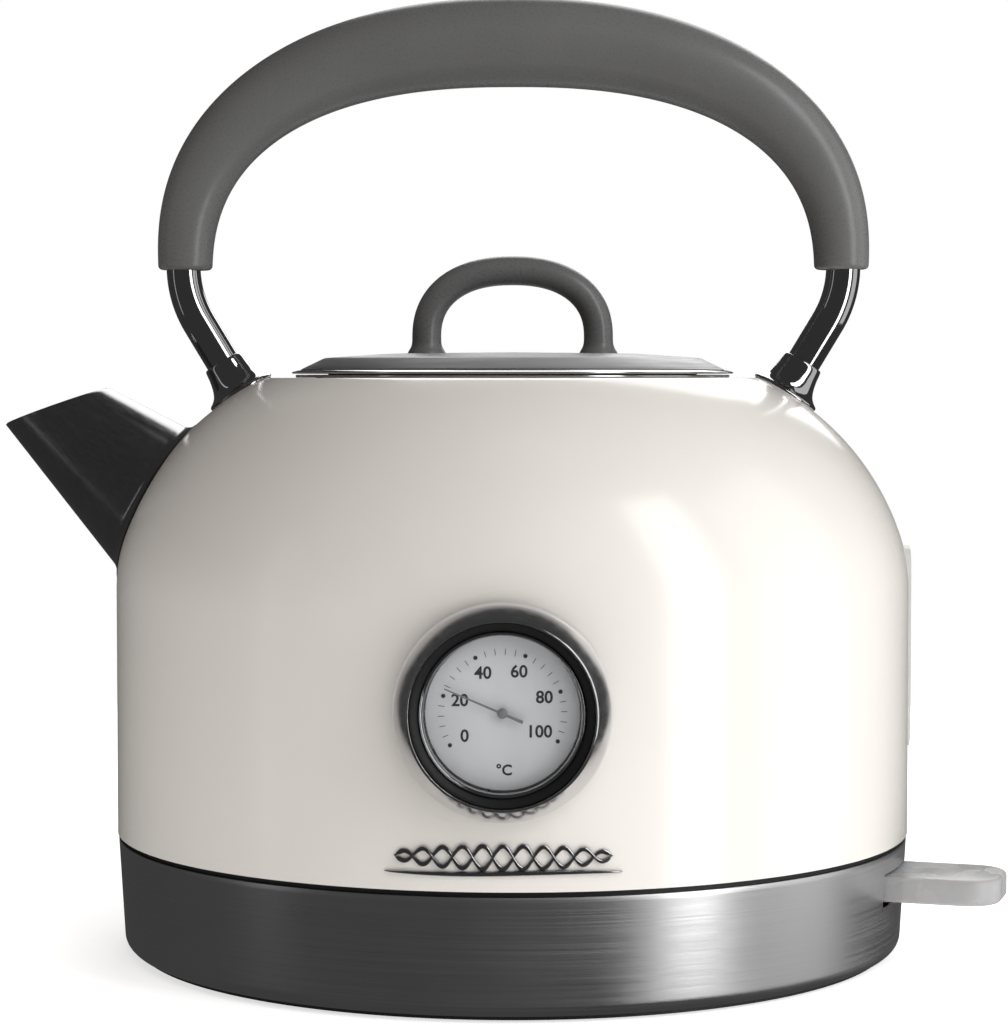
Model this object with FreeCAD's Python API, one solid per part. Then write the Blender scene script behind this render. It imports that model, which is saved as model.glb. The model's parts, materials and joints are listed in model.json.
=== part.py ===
"""Electric kettle with a domed steel body, an overhead bail handle and a dial thermometer.

Units are millimetres. +Z is up, the spout points along -X, the thermometer faces -Y, and the origin
is the centre of the ring that the kettle rests on. Each sub-part is one function that returns a shape.
"""
import FreeCAD, Part
import math
import os

Vector = FreeCAD.Vector
UP = Vector(0, 0, 1)
ORIGIN = Vector(0, 0, 0)

# Body: a straight wall, a shoulder arc and a crown arc, then a flat ledge round the neck
BODY_R = 95.0
WALL = 0.8
BODY_BOTTOM = 28.2
SHOULDER_Z = 86.0
SHOULDER_ARC = 40.7
SHOULDER_ANGLE = 18.8
CROWN_ARC = 62.9
CROWN_ANGLE = 65.8
NECK_R = 48.0
NECK_DEPTH = 5.2

# Three cover screws, on a circle
SCREW_CIRCLE_R = 77.0
SCREW_ANGLES = (60, 180, 300)

# Steam tube, beside the wall
STEAM_TUBE_AT = Vector(66, 30, 0)
STEAM_TUBE_R = 3.4

# Base: brushed band, chassis, bottom cover and the well for the power base's connector
BAND_TOP = 27.0
BAND_TOP_R = 94.75
BAND_FOOT_R = 93.4
BAND_WALL = 1.0
REST_RING = (82.0, 90.0)
WELL_R = 19.3
WELL_TOP = 9.0
PLATE_Z = 29.0

# Spout: a cone whose tip angle, axis and mouth plane are given in the XZ plane
SPOUT_APEX = Vector(-151.2, 0, 161.2)
SPOUT_TILT = 39.55
SPOUT_HALF_ANGLE = 12.35
SPOUT_TIP = Vector(-122.7, 0, 124.8)
SPOUT_MOUTH_TILT = 19.5
SPOUT_WALL = 0.8
SPOUT_HOLE_R = 14.0

# Thermometer, on the front of the wall
GAUGE_Z = 66.4
BEZEL_R = 23.2
BEZEL_PROUD = 9.0
DIAL_R = 16.2
DIAL_PROUD = 3.0
NEEDLE_ANGLE = 157.0

# Handle: tube and grip on one flattened arch, two side arcs joined by a top arc, above ARCH_Z
ARCH_Z = 163.0
ARCH_HALF_WIDTH = 79.45
ARCH_RISE = 53.35
ARCH_SIDE_R = 48.0
TUBE_R = 4.1
GRIP_END_R = 7.1
GRIP_MID_R = 10.6
GRIP_MID_DEPTH_R = 10.2
FOOT_TILT = 31.0
FOOT_SOCKET = 4.7
FOOT_R = 8.4

# Lid and its loop knob
LID_R = 53.0
LID_Z = 137.3
LID_TOP_Z = 142.4
KNOB_BASE_Z = 146.0
KNOB_HALF_WIDTH = 20.7
KNOB_RISE = 16.0
KNOB_SIDE_R = 13.0
KNOB_R = 3.5

# Water window, on the +X side
WINDOW_Z = (47.5, 95.8)
WINDOW_WIDTH = 14.0
WINDOW_PROUD = 0.7

# Switch lever, low on the right, turned towards the front
LEVER_AZIMUTH = -16.5
LEVER_REACH = 118.9
LEVER_WIDTH = 24.0
LEVER_Z = (16.0, 22.0)
LEVER_PIVOT_X = 87.5
LEVER_PIN_R = 1.5

GAP = 0.3
FAR = 400.0


def polar(radius, degrees):
    """Point at a radius and an angle from +X, in the XY plane."""
    a = math.radians(degrees)
    return Vector(radius * math.cos(a), radius * math.sin(a), 0)


def placed(shape, base, direction):
    """Shape made along +Z, moved so that +Z points along direction and its origin sits at base."""
    moved = shape.copy()
    moved.Placement = FreeCAD.Placement(base, FreeCAD.Rotation(UP, direction)) * shape.Placement
    return moved


def turned_z(shape, degrees):
    """Shape turned about the vertical axis."""
    moved = shape.copy()
    moved.rotate(ORIGIN, UP, degrees)
    return moved


def lathe(points):
    """Solid of revolution about Z from a closed outline of (radius, height) points."""
    corners = [Vector(r, 0, z) for r, z in points]
    outline = Part.makePolygon(corners + corners[:1])
    return Part.Face(outline).revolve(ORIGIN, UP, 360)


def ring(r_in, r_out, z_low, z_high):
    """Plain ring about Z."""
    return lathe([(r_in, z_low), (r_out, z_low), (r_out, z_high), (r_in, z_high)])


def disc(radius, z_low, z_high):
    """Plain disc about Z."""
    return Part.makeCylinder(radius, z_high - z_low, Vector(0, 0, z_low))


def box(x, y, z):
    """Box between pairs of limits."""
    return Part.makeBox(x[1] - x[0], y[1] - y[0], z[1] - z[0], Vector(x[0], y[0], z[0]))


def xz_arc(centre, radius, start, end):
    """Arc in the XZ plane from a start to an end angle in degrees, measured from +X."""
    points = []
    for degrees in (start, (start + end) / 2, end):
        a = math.radians(degrees)
        points.append(Vector(centre[0] + radius * math.cos(a), 0, centre[1] + radius * math.sin(a)))
    return Part.Arc(*points).toShape()


def wall_arcs(offset):
    """Shoulder and crown arcs of the body wall, pushed outwards by offset."""
    shoulder = (BODY_R - SHOULDER_ARC, SHOULDER_Z)
    a = math.radians(SHOULDER_ANGLE)
    step = SHOULDER_ARC - CROWN_ARC
    crown = (shoulder[0] + step * math.cos(a), shoulder[1] + step * math.sin(a))
    return [
        xz_arc(shoulder, SHOULDER_ARC + offset, 0, SHOULDER_ANGLE),
        xz_arc(crown, CROWN_ARC + offset, SHOULDER_ANGLE, CROWN_ANGLE),
    ]


def crown_point(degrees, offset=0.0):
    """Radius and height of the crown arc where its normal stands at an angle to the horizontal."""
    a = math.radians(SHOULDER_ANGLE)
    step = SHOULDER_ARC - CROWN_ARC
    b = math.radians(degrees)
    r = BODY_R - SHOULDER_ARC + step * math.cos(a) + (CROWN_ARC + offset) * math.cos(b)
    z = SHOULDER_Z + step * math.sin(a) + (CROWN_ARC + offset) * math.sin(b)
    return r, z


LEDGE_Z = crown_point(CROWN_ANGLE)[1]


def vessel(offset):
    """Solid inside the body wall's outline, pushed outwards by offset."""
    low = Vector(BODY_R + offset, 0, BODY_BOTTOM)
    arcs = wall_arcs(offset)
    top = arcs[1].Vertexes[-1].Point
    edges = [
        Part.makeLine(Vector(0, 0, BODY_BOTTOM), low),
        Part.makeLine(low, arcs[0].Vertexes[0].Point),
        arcs[0],
        arcs[1],
        Part.makeLine(top, Vector(0, 0, top.z)),
        Part.makeLine(Vector(0, 0, top.z), Vector(0, 0, BODY_BOTTOM)),
    ]
    return Part.Face(Part.Wire(Part.sortEdges(edges)[0])).revolve(ORIGIN, UP, 360)


def spout_direction():
    """Unit vector from the spout's apex down its axis into the body."""
    a = math.radians(SPOUT_TILT)
    return Vector(math.cos(a), 0, -math.sin(a))


def spout_cone(extra, length=120.0):
    """Cone with the spout's axis and angle, with its radius changed by extra."""
    near = 20.0
    slope = math.tan(math.radians(SPOUT_HALF_ANGLE))
    cone = Part.makeCone(near * slope + extra, length * slope + extra, length - near, Vector(0, 0, near))
    return placed(cone, SPOUT_APEX, spout_direction())


def window_prism(width, z_low, z_high):
    """Upright slab with rounded ends that the window's pieces are cut from, on the +X side."""
    r = width / 2
    slab = box((70, 110), (-r, r), (z_low + r, z_high - r))
    for z in (z_low + r, z_high - r):
        slab = slab.fuse(Part.makeCylinder(r, 40, Vector(70, 0, z), Vector(1, 0, 0)))
    return slab.removeSplitter()


def foot_place(side):
    """Base point and outward direction of a handle foot on the crown; side is -1 or 1."""
    angle = 90 - FOOT_TILT
    r, z = crown_point(angle)
    a = math.radians(angle)
    return Vector(side * r, 0, z), Vector(side * math.cos(a), 0, math.sin(a))


# ---- Body and base ----

def body_shell():
    """Enamelled steel wall with its neck ledge and collar, and the holes in it."""
    outer = wall_arcs(0)
    inner = wall_arcs(-WALL)
    top, under = outer[1].Vertexes[-1].Point, inner[1].Vertexes[-1].Point
    collar = NECK_R - WALL
    foot = LEDGE_Z - NECK_DEPTH
    path = [top, Vector(collar, 0, LEDGE_Z), Vector(collar, 0, foot), Vector(NECK_R, 0, foot),
            Vector(NECK_R, 0, under.z), under]
    edges = outer + inner
    edges += [Part.makeLine(a, b) for a, b in zip(path, path[1:])]
    outer_low, inner_low = Vector(BODY_R, 0, BODY_BOTTOM), Vector(BODY_R - WALL, 0, BODY_BOTTOM)
    edges += [
        Part.makeLine(outer_low, outer[0].Vertexes[0].Point),
        Part.makeLine(inner_low, inner[0].Vertexes[0].Point),
        Part.makeLine(outer_low, inner_low),
    ]
    shell = Part.Face(Part.Wire(Part.sortEdges(edges)[0])).revolve(ORIGIN, UP, 360)
    shell = shell.cut(placed(disc(SPOUT_HOLE_R, 40, 110), SPOUT_APEX, spout_direction()))
    shell = shell.cut(placed(disc(3.5, 80, 100), Vector(0, 0, GAUGE_Z), Vector(0, -1, 0)))
    shell = shell.cut(window_prism(WINDOW_WIDTH - 4, WINDOW_Z[0] + 2, WINDOW_Z[1] - 2))
    for side in (-1, 1):
        base, direction = foot_place(side)
        shell = shell.cut(placed(disc(2.6, -5, 5), base, direction))
    return shell


def neck_ring():
    """Polished ring that lines the neck and carries the lid."""
    return lathe([
        (46.3, LEDGE_Z - NECK_DEPTH), (NECK_R - WALL - 0.05, LEDGE_Z - NECK_DEPTH),
        (NECK_R - WALL - 0.05, LEDGE_Z + 0.05), (52.2, LEDGE_Z + 0.05),
        (52.2, LEDGE_Z + 0.75), (46.3, LEDGE_Z + 0.75),
    ])


def heating_plate():
    """Steel floor of the vessel."""
    plate = disc(BODY_R - WALL - 0.05, PLATE_Z, PLATE_Z + 0.8)
    return plate.cut(disc(STEAM_TUBE_R + 0.02, 0, 40).translated(STEAM_TUBE_AT))


def heat_spreader():
    """Aluminium disc brazed under the floor."""
    return disc(68, PLATE_Z - 2.4, PLATE_Z - 0.05)


ELEMENT_RING_R = 50.0
ELEMENT_TUBE_R = 3.2
ELEMENT_Z = PLATE_Z - 2.45 - ELEMENT_TUBE_R


def heating_element():
    """Sheathed element bent to most of a ring under the spreader."""
    torus = Part.makeTorus(ELEMENT_RING_R, ELEMENT_TUBE_R, Vector(0, 0, ELEMENT_Z))
    wedge = box((20, 90), (-16, 16), (0, 40))
    return torus.cut(wedge)


def element_terminals():
    """Cold pin with its tab at each end of the element."""
    reach = math.sqrt(ELEMENT_RING_R ** 2 - 16 ** 2)
    pins = []
    for side in (-1, 1):
        pin = Part.makeCylinder(1.2, 10, Vector(reach, side * 15.9, ELEMENT_Z), Vector(0, -side, 0))
        tab = box((reach - 3, reach + 3), (side * 5.9 - 0.4, side * 5.9 + 0.4), (14, ELEMENT_Z - 1.25))
        pins.append(pin.fuse(box((reach - 1, reach + 1), (side * 5.9 - 0.4, side * 5.9 + 0.4),
                                 (ELEMENT_Z - 1.6, ELEMENT_Z))).fuse(tab))
    return Part.makeCompound(pins)


def earth_strap():
    """Strip from the spreader to the control's earth tab."""
    up = box((-36, -35.2), (-4, 4), (20, PLATE_Z - 2.45))
    foot = box((-35.2, -28.1), (-4, 4), (20, 20.8))
    return up.fuse(foot).removeSplitter()


def base_band():
    """Brushed steel skirt with a rolled foot and the lever's slot."""
    foot = (91.2, 0.9)
    bend = xz_arc((BAND_FOOT_R - 3.2, 4.0), 3.2, 0, -75)
    start, end = bend.Vertexes[0].Point, bend.Vertexes[-1].Point
    inner = [Vector(end.x - 0.3, 0, end.z + BAND_WALL), Vector(BAND_FOOT_R - BAND_WALL, 0, 4.6),
             Vector(BAND_TOP_R - BAND_WALL, 0, BAND_TOP)]
    top = Vector(BAND_TOP_R, 0, BAND_TOP)
    edges = [bend, Part.makeLine(start, top), Part.makeLine(top, inner[2]),
             Part.makeLine(inner[2], inner[1]), Part.makeLine(inner[1], inner[0]),
             Part.makeLine(inner[0], end)]
    band = Part.Face(Part.Wire(Part.sortEdges(edges)[0])).revolve(ORIGIN, UP, 360)
    half = LEVER_WIDTH / 2 + 0.8
    slot = box((85, 110), (-half, half), (LEVER_Z[0] - 1.8, LEVER_Z[1] + 0.6))
    return band.cut(turned_z(slot, LEVER_AZIMUTH))


def base_chassis():
    """Black moulded ring that joins the body, the band and the bottom cover."""
    groove = lathe([
        (86, BAND_TOP - 3), (BAND_TOP_R - BAND_WALL - GAP, BAND_TOP - 3),
        (BAND_TOP_R - BAND_WALL - GAP, BAND_TOP + 0.02), (94.0, BAND_TOP + 0.02),
        (94.0, BODY_BOTTOM - 0.05), (86, BODY_BOTTOM - 0.05),
    ])
    skirt = ring(86, 88, 4.6, BAND_TOP - 3)
    chassis = groove.fuse(skirt)
    for degrees in SCREW_ANGLES:
        boss = disc(4, 3.1, BAND_TOP - 3).translated(Vector(SCREW_CIRCLE_R, 0, 0))
        web = box((SCREW_CIRCLE_R, 87), (-1.5, 1.5), (5, BAND_TOP - 3))
        chassis = chassis.fuse(turned_z(boss.fuse(web), degrees))
        chassis = chassis.cut(disc(1.5, 3, 18).translated(polar(SCREW_CIRCLE_R, degrees)))
    half = LEVER_WIDTH / 2 + 4.2
    mouth = box((80, 91), (-half, half), (4, BAND_TOP - 3.5))
    return chassis.cut(turned_z(mouth, LEVER_AZIMUTH)).removeSplitter()


def bottom_cover():
    """Moulded underside: resting ring, connector well and its collar."""
    floor = lathe([
        (WELL_R, 1.0), (REST_RING[0], 1.0), (REST_RING[0], 0), (REST_RING[1], 0), (REST_RING[1], 4.2),
        (REST_RING[1] - 2, 4.2), (REST_RING[1] - 2, 3.0), (WELL_R + 2, 3.0), (WELL_R + 2, WELL_TOP),
        (WELL_R, WELL_TOP),
    ])
    for degrees in SCREW_ANGLES:
        floor = floor.cut(disc(1.8, -1, 6).translated(polar(SCREW_CIRCLE_R, degrees)))
        floor = floor.cut(disc(3.4, -1, 1.9).translated(polar(SCREW_CIRCLE_R, degrees)))
    return floor


def cover_screws():
    """Three screws that hold the bottom cover."""
    screws = []
    for degrees in SCREW_ANGLES:
        screw = disc(3.1, 0.95, 1.85).fuse(disc(1.45, 1.8, 14)).removeSplitter()
        screws.append(screw.translated(polar(SCREW_CIRCLE_R, degrees)))
    return Part.makeCompound(screws)


# ---- Controls ----

def control_housing():
    """Round moulded body of the cordless connector and thermostat."""
    body = disc(27, WELL_TOP + 0.5, 20)
    body = body.cut(ring(8, 11, WELL_TOP, 14)).cut(ring(13.5, 16.5, WELL_TOP, 14))
    return body.cut(disc(2.2, WELL_TOP, 16))


def connector_pin():
    """Earth socket tube at the centre of the connector."""
    return ring(1.2, 2.1, WELL_TOP + 0.6, 15.9)


def connector_rings():
    """Live and neutral contact rings."""
    return Part.makeCompound([ring(8.6, 10.4, 11.5, 13.9), ring(14.1, 15.9, 11.5, 13.9)])


def dry_boil_discs():
    """Two snap-action bimetal discs against the spreader."""
    dish = disc(8, 24.2, 24.8)
    return Part.makeCompound([dish.translated(Vector(0, s * 15, 0)) for s in (-1, 1)])


def steam_disc():
    """Bimetal disc beside the steam tube that trips the switch."""
    return Part.makeCylinder(8, 0.6, Vector(60, 30, 12), Vector(1, 0, 0))


def steam_tube():
    """Tube that brings steam from under the crown down to the steam disc."""
    return ring(STEAM_TUBE_R - 1, STEAM_TUBE_R, 10, 122).translated(STEAM_TUBE_AT)


def lever_pivot():
    """Pin that the lever rocks on."""
    half = LEVER_WIDTH / 2 + 3.4
    z = sum(LEVER_Z) / 2
    pin = Part.makeCylinder(LEVER_PIN_R, 2 * half, Vector(LEVER_PIVOT_X, -half, z), Vector(0, 1, 0))
    return turned_z(pin, LEVER_AZIMUTH)


def lever_bracket():
    """Two cheeks on a foot strip that carry the lever's pin."""
    z = sum(LEVER_Z) / 2
    half = LEVER_WIDTH / 2 + 3.4
    x = (LEVER_PIVOT_X - 3.5, LEVER_PIVOT_X + 3.5)
    bracket = box((x[0], x[0] + 1.5), (-half, half), (3.1, 4.6))
    for side in (-1, 1):
        y = sorted((side * half, side * (half - 2.4)))
        bracket = bracket.fuse(box(x, y, (4.3, z + 3.5)))
    bore = Part.makeCylinder(LEVER_PIN_R + 0.02, 2 * half + 2, Vector(LEVER_PIVOT_X, -half - 1, z),
                             Vector(0, 1, 0))
    return turned_z(bracket.cut(bore).removeSplitter(), LEVER_AZIMUTH)


def trip_spring():
    """Over-centre leaf under the lever's inner arm."""
    leaf = box((64, 64.5), (-4, 4), (3.1, 13))
    top = box((64, 76), (-4, 4), (13, 13.4))
    return turned_z(leaf.fuse(top).removeSplitter(), LEVER_AZIMUTH)


def indicator_lamp():
    """Lamp that lights the translucent lever from behind."""
    lamp = Part.makeCylinder(2.5, 5, Vector(55, 0, 19), Vector(1, 0, 0))
    return turned_z(lamp.fuse(Part.makeSphere(2.5, Vector(60, 0, 19))).removeSplitter(), LEVER_AZIMUTH)


def lamp_leads():
    """Two insulated leads from the control to the lamp."""
    leads = []
    for side in (-1, 1):
        lead = Part.makeCylinder(0.8, 26.5, Vector(28.3, side * 1.3, 19), Vector(1, 0, 0))
        leads.append(turned_z(lead, LEVER_AZIMUTH))
    return Part.makeCompound(leads)


def switch_lever():
    """Translucent paddle with a rounded end and an inner arm, bored for its pin."""
    half = LEVER_WIDTH / 2
    corner = 8.0
    z_low, z_high = LEVER_Z
    paddle = box((LEVER_PIVOT_X - 4, LEVER_REACH - corner), (-half, half), (z_low, z_high))
    paddle = paddle.fuse(box((LEVER_PIVOT_X - 4, LEVER_REACH), (corner - half, half - corner), (z_low, z_high)))
    for side in (-1, 1):
        centre = Vector(LEVER_REACH - corner, side * (half - corner), z_low)
        paddle = paddle.fuse(Part.makeCylinder(corner, z_high - z_low, centre))
    arm = box((LEVER_PIVOT_X - 14, LEVER_PIVOT_X - 3), (-4, 4), (z_low + 1, z_high - 1))
    paddle = paddle.fuse(arm).removeSplitter()
    z = (z_low + z_high) / 2
    bore = Part.makeCylinder(LEVER_PIN_R + 0.05, 60, Vector(LEVER_PIVOT_X, -30, z), Vector(0, 1, 0))
    return turned_z(paddle.cut(bore), LEVER_AZIMUTH)


# ---- Spout ----

def mouth_space():
    """Everything on the outer side of the spout's mouth plane."""
    a = math.radians(SPOUT_MOUTH_TILT)
    outward = Vector(-math.sin(a), 0, math.cos(a))
    block = Part.makeBox(FAR, FAR, 100, Vector(-FAR / 2, -FAR / 2, 0))
    return placed(block, SPOUT_TIP, outward)


def spout():
    """Steel pouring cone with a cut mouth and a flange that follows the body."""
    tube = spout_cone(0).cut(vessel(GAP))
    lip = spout_cone(2.2).common(vessel(GAP + 0.8)).cut(vessel(GAP))
    tube = tube.fuse(lip).cut(spout_cone(-SPOUT_WALL))
    tube = tube.cut(mouth_space())
    return tube.removeSplitter()


def spout_gasket():
    """Thin seal between the spout's flange and the body."""
    return spout_cone(2.0).common(vessel(GAP - 0.02)).cut(vessel(0.02)).cut(spout_cone(-SPOUT_WALL))


FILTER_AT = 88.5


def filter_frame():
    """Clip-in filter's frame, inside the wall behind the spout's hole."""
    frame = ring(13.5, 16.5, 0, 2.5)
    frame = frame.fuse(box((-0.6, 0.6), (-13.6, 13.6), (1.2, 2.5)))
    frame = frame.fuse(box((-13.6, 13.6), (-0.6, 0.6), (1.2, 2.5))).removeSplitter()
    return placed(frame, SPOUT_APEX + spout_direction() * FILTER_AT, spout_direction())


def filter_mesh():
    """Fine strainer sheet held in the frame, with rows of holes."""
    sheet = disc(13.45, 0.2, 0.6)
    holes = []
    for row in range(-4, 5):
        for column in range(-4, 5):
            if math.hypot(row, column) * 2.8 < 12:
                holes.append(disc(0.9, 0, 1).translated(Vector(row * 2.8, column * 2.8, 0)))
    sheet = sheet.cut(Part.makeCompound(holes))
    return placed(sheet, SPOUT_APEX + spout_direction() * FILTER_AT, spout_direction())


def filter_guides():
    """Two rails inside the wall that the filter slides up out of."""
    rails = []
    for side in (-1, 1):
        y = sorted((side * 16.9, side * 18.1))
        rail = box((-9, 9), y, (-1.5, 3.0))
        lip = box((-9, 9), sorted((side * 15.6, side * 16.9)), (2.85, 3.65))
        rails.append(rail.fuse(box((-9, 9), y, (2.9, 3.65))).fuse(lip).removeSplitter())
    placed_rails = placed(Part.makeCompound(rails), SPOUT_APEX + spout_direction() * FILTER_AT,
                          spout_direction())
    return placed_rails.common(vessel(-WALL - 0.05))


# ---- Thermometer ----

def on_gauge(shape):
    """Shape made along +Z from the body's surface, moved to the front of the kettle."""
    return placed(shape, Vector(0, -BODY_R, GAUGE_Z), Vector(0, -1, 0))


def thermometer_bezel():
    """Wide sloping chrome ring, scribed to the round wall."""
    blank = on_gauge(lathe([
        (19.4, -4), (BEZEL_R, -4), (BEZEL_R, 0.4), (22.6, 3.4), (21.2, 7.4), (20.4, BEZEL_PROUD),
        (19.7, BEZEL_PROUD), (19.4, 7.8),
    ]))
    return blank.cut(vessel(0.1))


def lens_seal():
    """Black ring between the bezel and the inner ring."""
    return on_gauge(ring(17.45, 19.35, 3.6, 7.7))


def bezel_inner_ring():
    """Thin bright ring round the lens."""
    return on_gauge(ring(16.5, 17.4, 3.6, 7.2))


def dial_lens():
    """Clear disc over the dial."""
    return on_gauge(disc(16.4, 5.8, 6.8))


def dial_face():
    """Silvered scale plate."""
    return on_gauge(ring(0.7, DIAL_R, DIAL_PROUD - 0.4, DIAL_PROUD))


def gauge_can():
    """Shallow cup that holds the dial, scribed to the wall."""
    cup = disc(19.3, -4, 3.5).cut(disc(18.0, 1.2, 4))
    cup = cup.cut(disc(1.2, -6, 2))
    return on_gauge(cup).cut(vessel(0.4))


def dial_pillar():
    """Ring that carries the dial plate inside the can."""
    return on_gauge(ring(12.0, 14.0, 1.25, DIAL_PROUD - 0.42))


def gauge_probe():
    """Closed stem that reaches through the wall into the water."""
    return on_gauge(disc(3.2, -24, 0.3).cut(disc(2.5, -23, 1.0)))


def bimetal_helix():
    """Bimetal coil in the stem that turns the needle's staff."""
    helix = Part.makeHelix(2.0, 18.0, 1.7)
    section = Part.Wire(Part.makeCircle(0.3, Vector(1.7, 0, 0), Vector(0, 1, 0)))
    coil = Part.Wire(helix).makePipeShell([section], True, True)
    return on_gauge(coil.translated(Vector(0, 0, -21)))


def gauge_seal():
    """Ring seal on the stem, inside the wall."""
    return on_gauge(ring(3.25, 6.5, -2.4, -1.25))


def gauge_nut():
    """Hexagon nut that clamps the gauge from inside."""
    corners = [polar(7.0, 60 * k) for k in range(6)]
    hexagon = Part.Face(Part.makePolygon(corners + corners[:1])).extrude(Vector(0, 0, 3.4))
    nut = hexagon.cut(disc(3.24, -1, 5))
    return on_gauge(nut.translated(Vector(0, 0, -5.85)))


def needle():
    """Pointer with a tail and a hub."""
    shaft = Part.makePolygon([
        Vector(13.2, -0.12, 0), Vector(13.2, 0.12, 0), Vector(0, 0.38, 0), Vector(-4.6, 0.5, 0),
        Vector(-4.6, -0.5, 0), Vector(0, -0.38, 0), Vector(13.2, -0.12, 0),
    ])
    pointer = Part.Face(shaft).extrude(Vector(0, 0, 0.25))
    pointer = pointer.fuse(disc(1.1, 0, 0.6)).removeSplitter()
    pointer = turned_z(pointer, NEEDLE_ANGLE)
    pointer = pointer.translated(Vector(0, 0, DIAL_PROUD + 0.9))
    # The gauge's own +X must stay along the kettle's +X, so it is tipped about X
    pointer.rotate(ORIGIN, Vector(1, 0, 0), 90)
    return pointer.translated(Vector(0, -BODY_R, GAUGE_Z))


def needle_staff():
    """Thin shaft from the bimetal coil to the needle."""
    return on_gauge(disc(0.5, -3.5, DIAL_PROUD + 0.88))


# ---- Handle ----

def arch_arcs(half_width, rise, base_z, side_r):
    """Centre, radius, start and end angle of the three tangent arcs of a flattened arch, from +X."""
    inset = half_width - side_r
    # The top arc passes through the crest and is tangent to both side arcs
    top_r = (inset ** 2 + rise ** 2 - side_r ** 2) / (2 * (rise - side_r))
    top_z = base_z + rise - top_r
    joint = math.degrees(math.atan2(base_z - top_z, inset))
    return [
        ((inset, base_z), side_r, 0, joint),
        ((0, top_z), top_r, joint, 180 - joint),
        ((-inset, base_z), side_r, 180 - joint, 180),
    ]


def arch_stations(arcs, counts):
    """Points and tangents along an arch, with a count of steps for each of its arcs."""
    stations = []
    for number, (centre, radius, start, end) in enumerate(arcs):
        for k in range(0 if number == 0 else 1, counts[number] + 1):
            a = math.radians(start + (end - start) * k / counts[number])
            point = Vector(centre[0] + radius * math.cos(a), 0, centre[1] + radius * math.sin(a))
            stations.append((point, Vector(-math.sin(a), 0, math.cos(a))))
    return stations


def arch_loft(stations, radii):
    """Solid lofted over an arch; radii(t) gives the in-plane and the depth radius, t from 0 to 1."""
    sections = []
    for number, (centre, tangent) in enumerate(stations):
        in_plane, depth = radii(number / (len(stations) - 1))
        across = Vector(0, 1, 0)
        inward = tangent.cross(across)
        corners = []
        for degrees in range(0, 360, 45):
            a = math.radians(degrees)
            corners.append(centre + inward * (in_plane * math.cos(a)) + across * (depth * math.sin(a)))
        outline = Part.BSplineCurve()
        outline.interpolate(corners, PeriodicFlag=True)
        sections.append(Part.Wire(outline.toShape()))
    return Part.makeLoft(sections, True, False)


def handle_tube():
    """Chrome tube from foot to foot through the grip, in straight runs and tangent arcs."""
    base, direction = foot_place(1)
    tilt = math.radians(FOOT_TILT)
    # Below the arch each leg bends off the vertical on one arc that ends on the foot's axis
    drop = ARCH_Z - base.z
    side = ARCH_HALF_WIDTH - base.x
    leg_r = (drop - side / math.tan(tilt)) / (math.sin(tilt) - (1 - math.cos(tilt)) / math.tan(tilt))
    start = base + direction * (FOOT_SOCKET + 0.1)
    edges = [xz_arc(*arc) for arc in arch_arcs(ARCH_HALF_WIDTH, ARCH_RISE, ARCH_Z, ARCH_SIDE_R)]
    for mirror in (1, -1):
        centre = (mirror * (ARCH_HALF_WIDTH - leg_r), ARCH_Z)
        angles = (-FOOT_TILT, 0) if mirror == 1 else (180, 180 + FOOT_TILT)
        bend = xz_arc(centre, leg_r, *angles)
        lowest = min((v.Point for v in bend.Vertexes), key=lambda point: point.z)
        edges += [bend, Part.makeLine(Vector(mirror * start.x, 0, start.z), lowest)]
    path = Part.Wire(Part.sortEdges(edges)[0])
    first = path.OrderedVertexes[0].Point
    axis = Vector(math.copysign(direction.x, first.x), 0, direction.z)
    section = Part.Wire(Part.makeCircle(TUBE_R, first, axis))
    return path.makePipeShell([section], True, False)


def handle_grip():
    """Moulded grip, thickest over the middle, bored for the tube."""
    def radii(t):
        swell = math.sin(math.pi * t) ** 1.2
        return (GRIP_END_R + (GRIP_MID_R - GRIP_END_R) * swell,
                GRIP_END_R + (GRIP_MID_DEPTH_R - GRIP_END_R) * swell)
    arcs = arch_arcs(ARCH_HALF_WIDTH, ARCH_RISE, ARCH_Z, ARCH_SIDE_R)
    grip = arch_loft(arch_stations(arcs, (5, 4, 5)), radii)
    return grip.cut(handle_tube())


def handle_feet():
    """Trumpet feet, flange down on the crown, socketed for the tube."""
    feet = []
    for side in (-1, 1):
        base, direction = foot_place(side)
        foot = lathe([(0, -2.0), (FOOT_R, -2.0), (FOOT_R, 1.3), (6.6, 2.2), (5.4, 3.8), (4.9, 6.0),
                      (4.7, 8.5), (0, 8.5)])
        foot = placed(foot, base, direction).cut(vessel(GAP))
        foot = foot.cut(placed(disc(1.9, -3, 3.6), base, direction))
        feet.append(foot.cut(placed(disc(TUBE_R + 0.1, FOOT_SOCKET, 20), base, direction)))
    return Part.makeCompound(feet)


def foot_gaskets():
    """Thin seals under the feet."""
    seals = []
    for side in (-1, 1):
        base, direction = foot_place(side)
        seal = placed(ring(2.6, FOOT_R - 0.4, -3, 3), base, direction)
        seals.append(seal.common(vessel(GAP - 0.02)).cut(vessel(0.02)))
    return Part.makeCompound(seals)


def handle_screws():
    """Screw into each foot from inside the body."""
    screws = []
    for side in (-1, 1):
        base, direction = foot_place(side)
        screw = disc(4.0, -4.6, -2.25).fuse(disc(1.85, -2.3, 3.4)).removeSplitter()
        screws.append(placed(screw, base, direction))
    return Part.makeCompound(screws)


def handle_washers():
    """Wide washer under each handle screw."""
    washers = []
    for side in (-1, 1):
        base, direction = foot_place(side)
        washers.append(placed(ring(2.1, 5.5, -2.2, -1.2), base, direction))
    return Part.makeCompound(washers)


# ---- Lid ----

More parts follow.
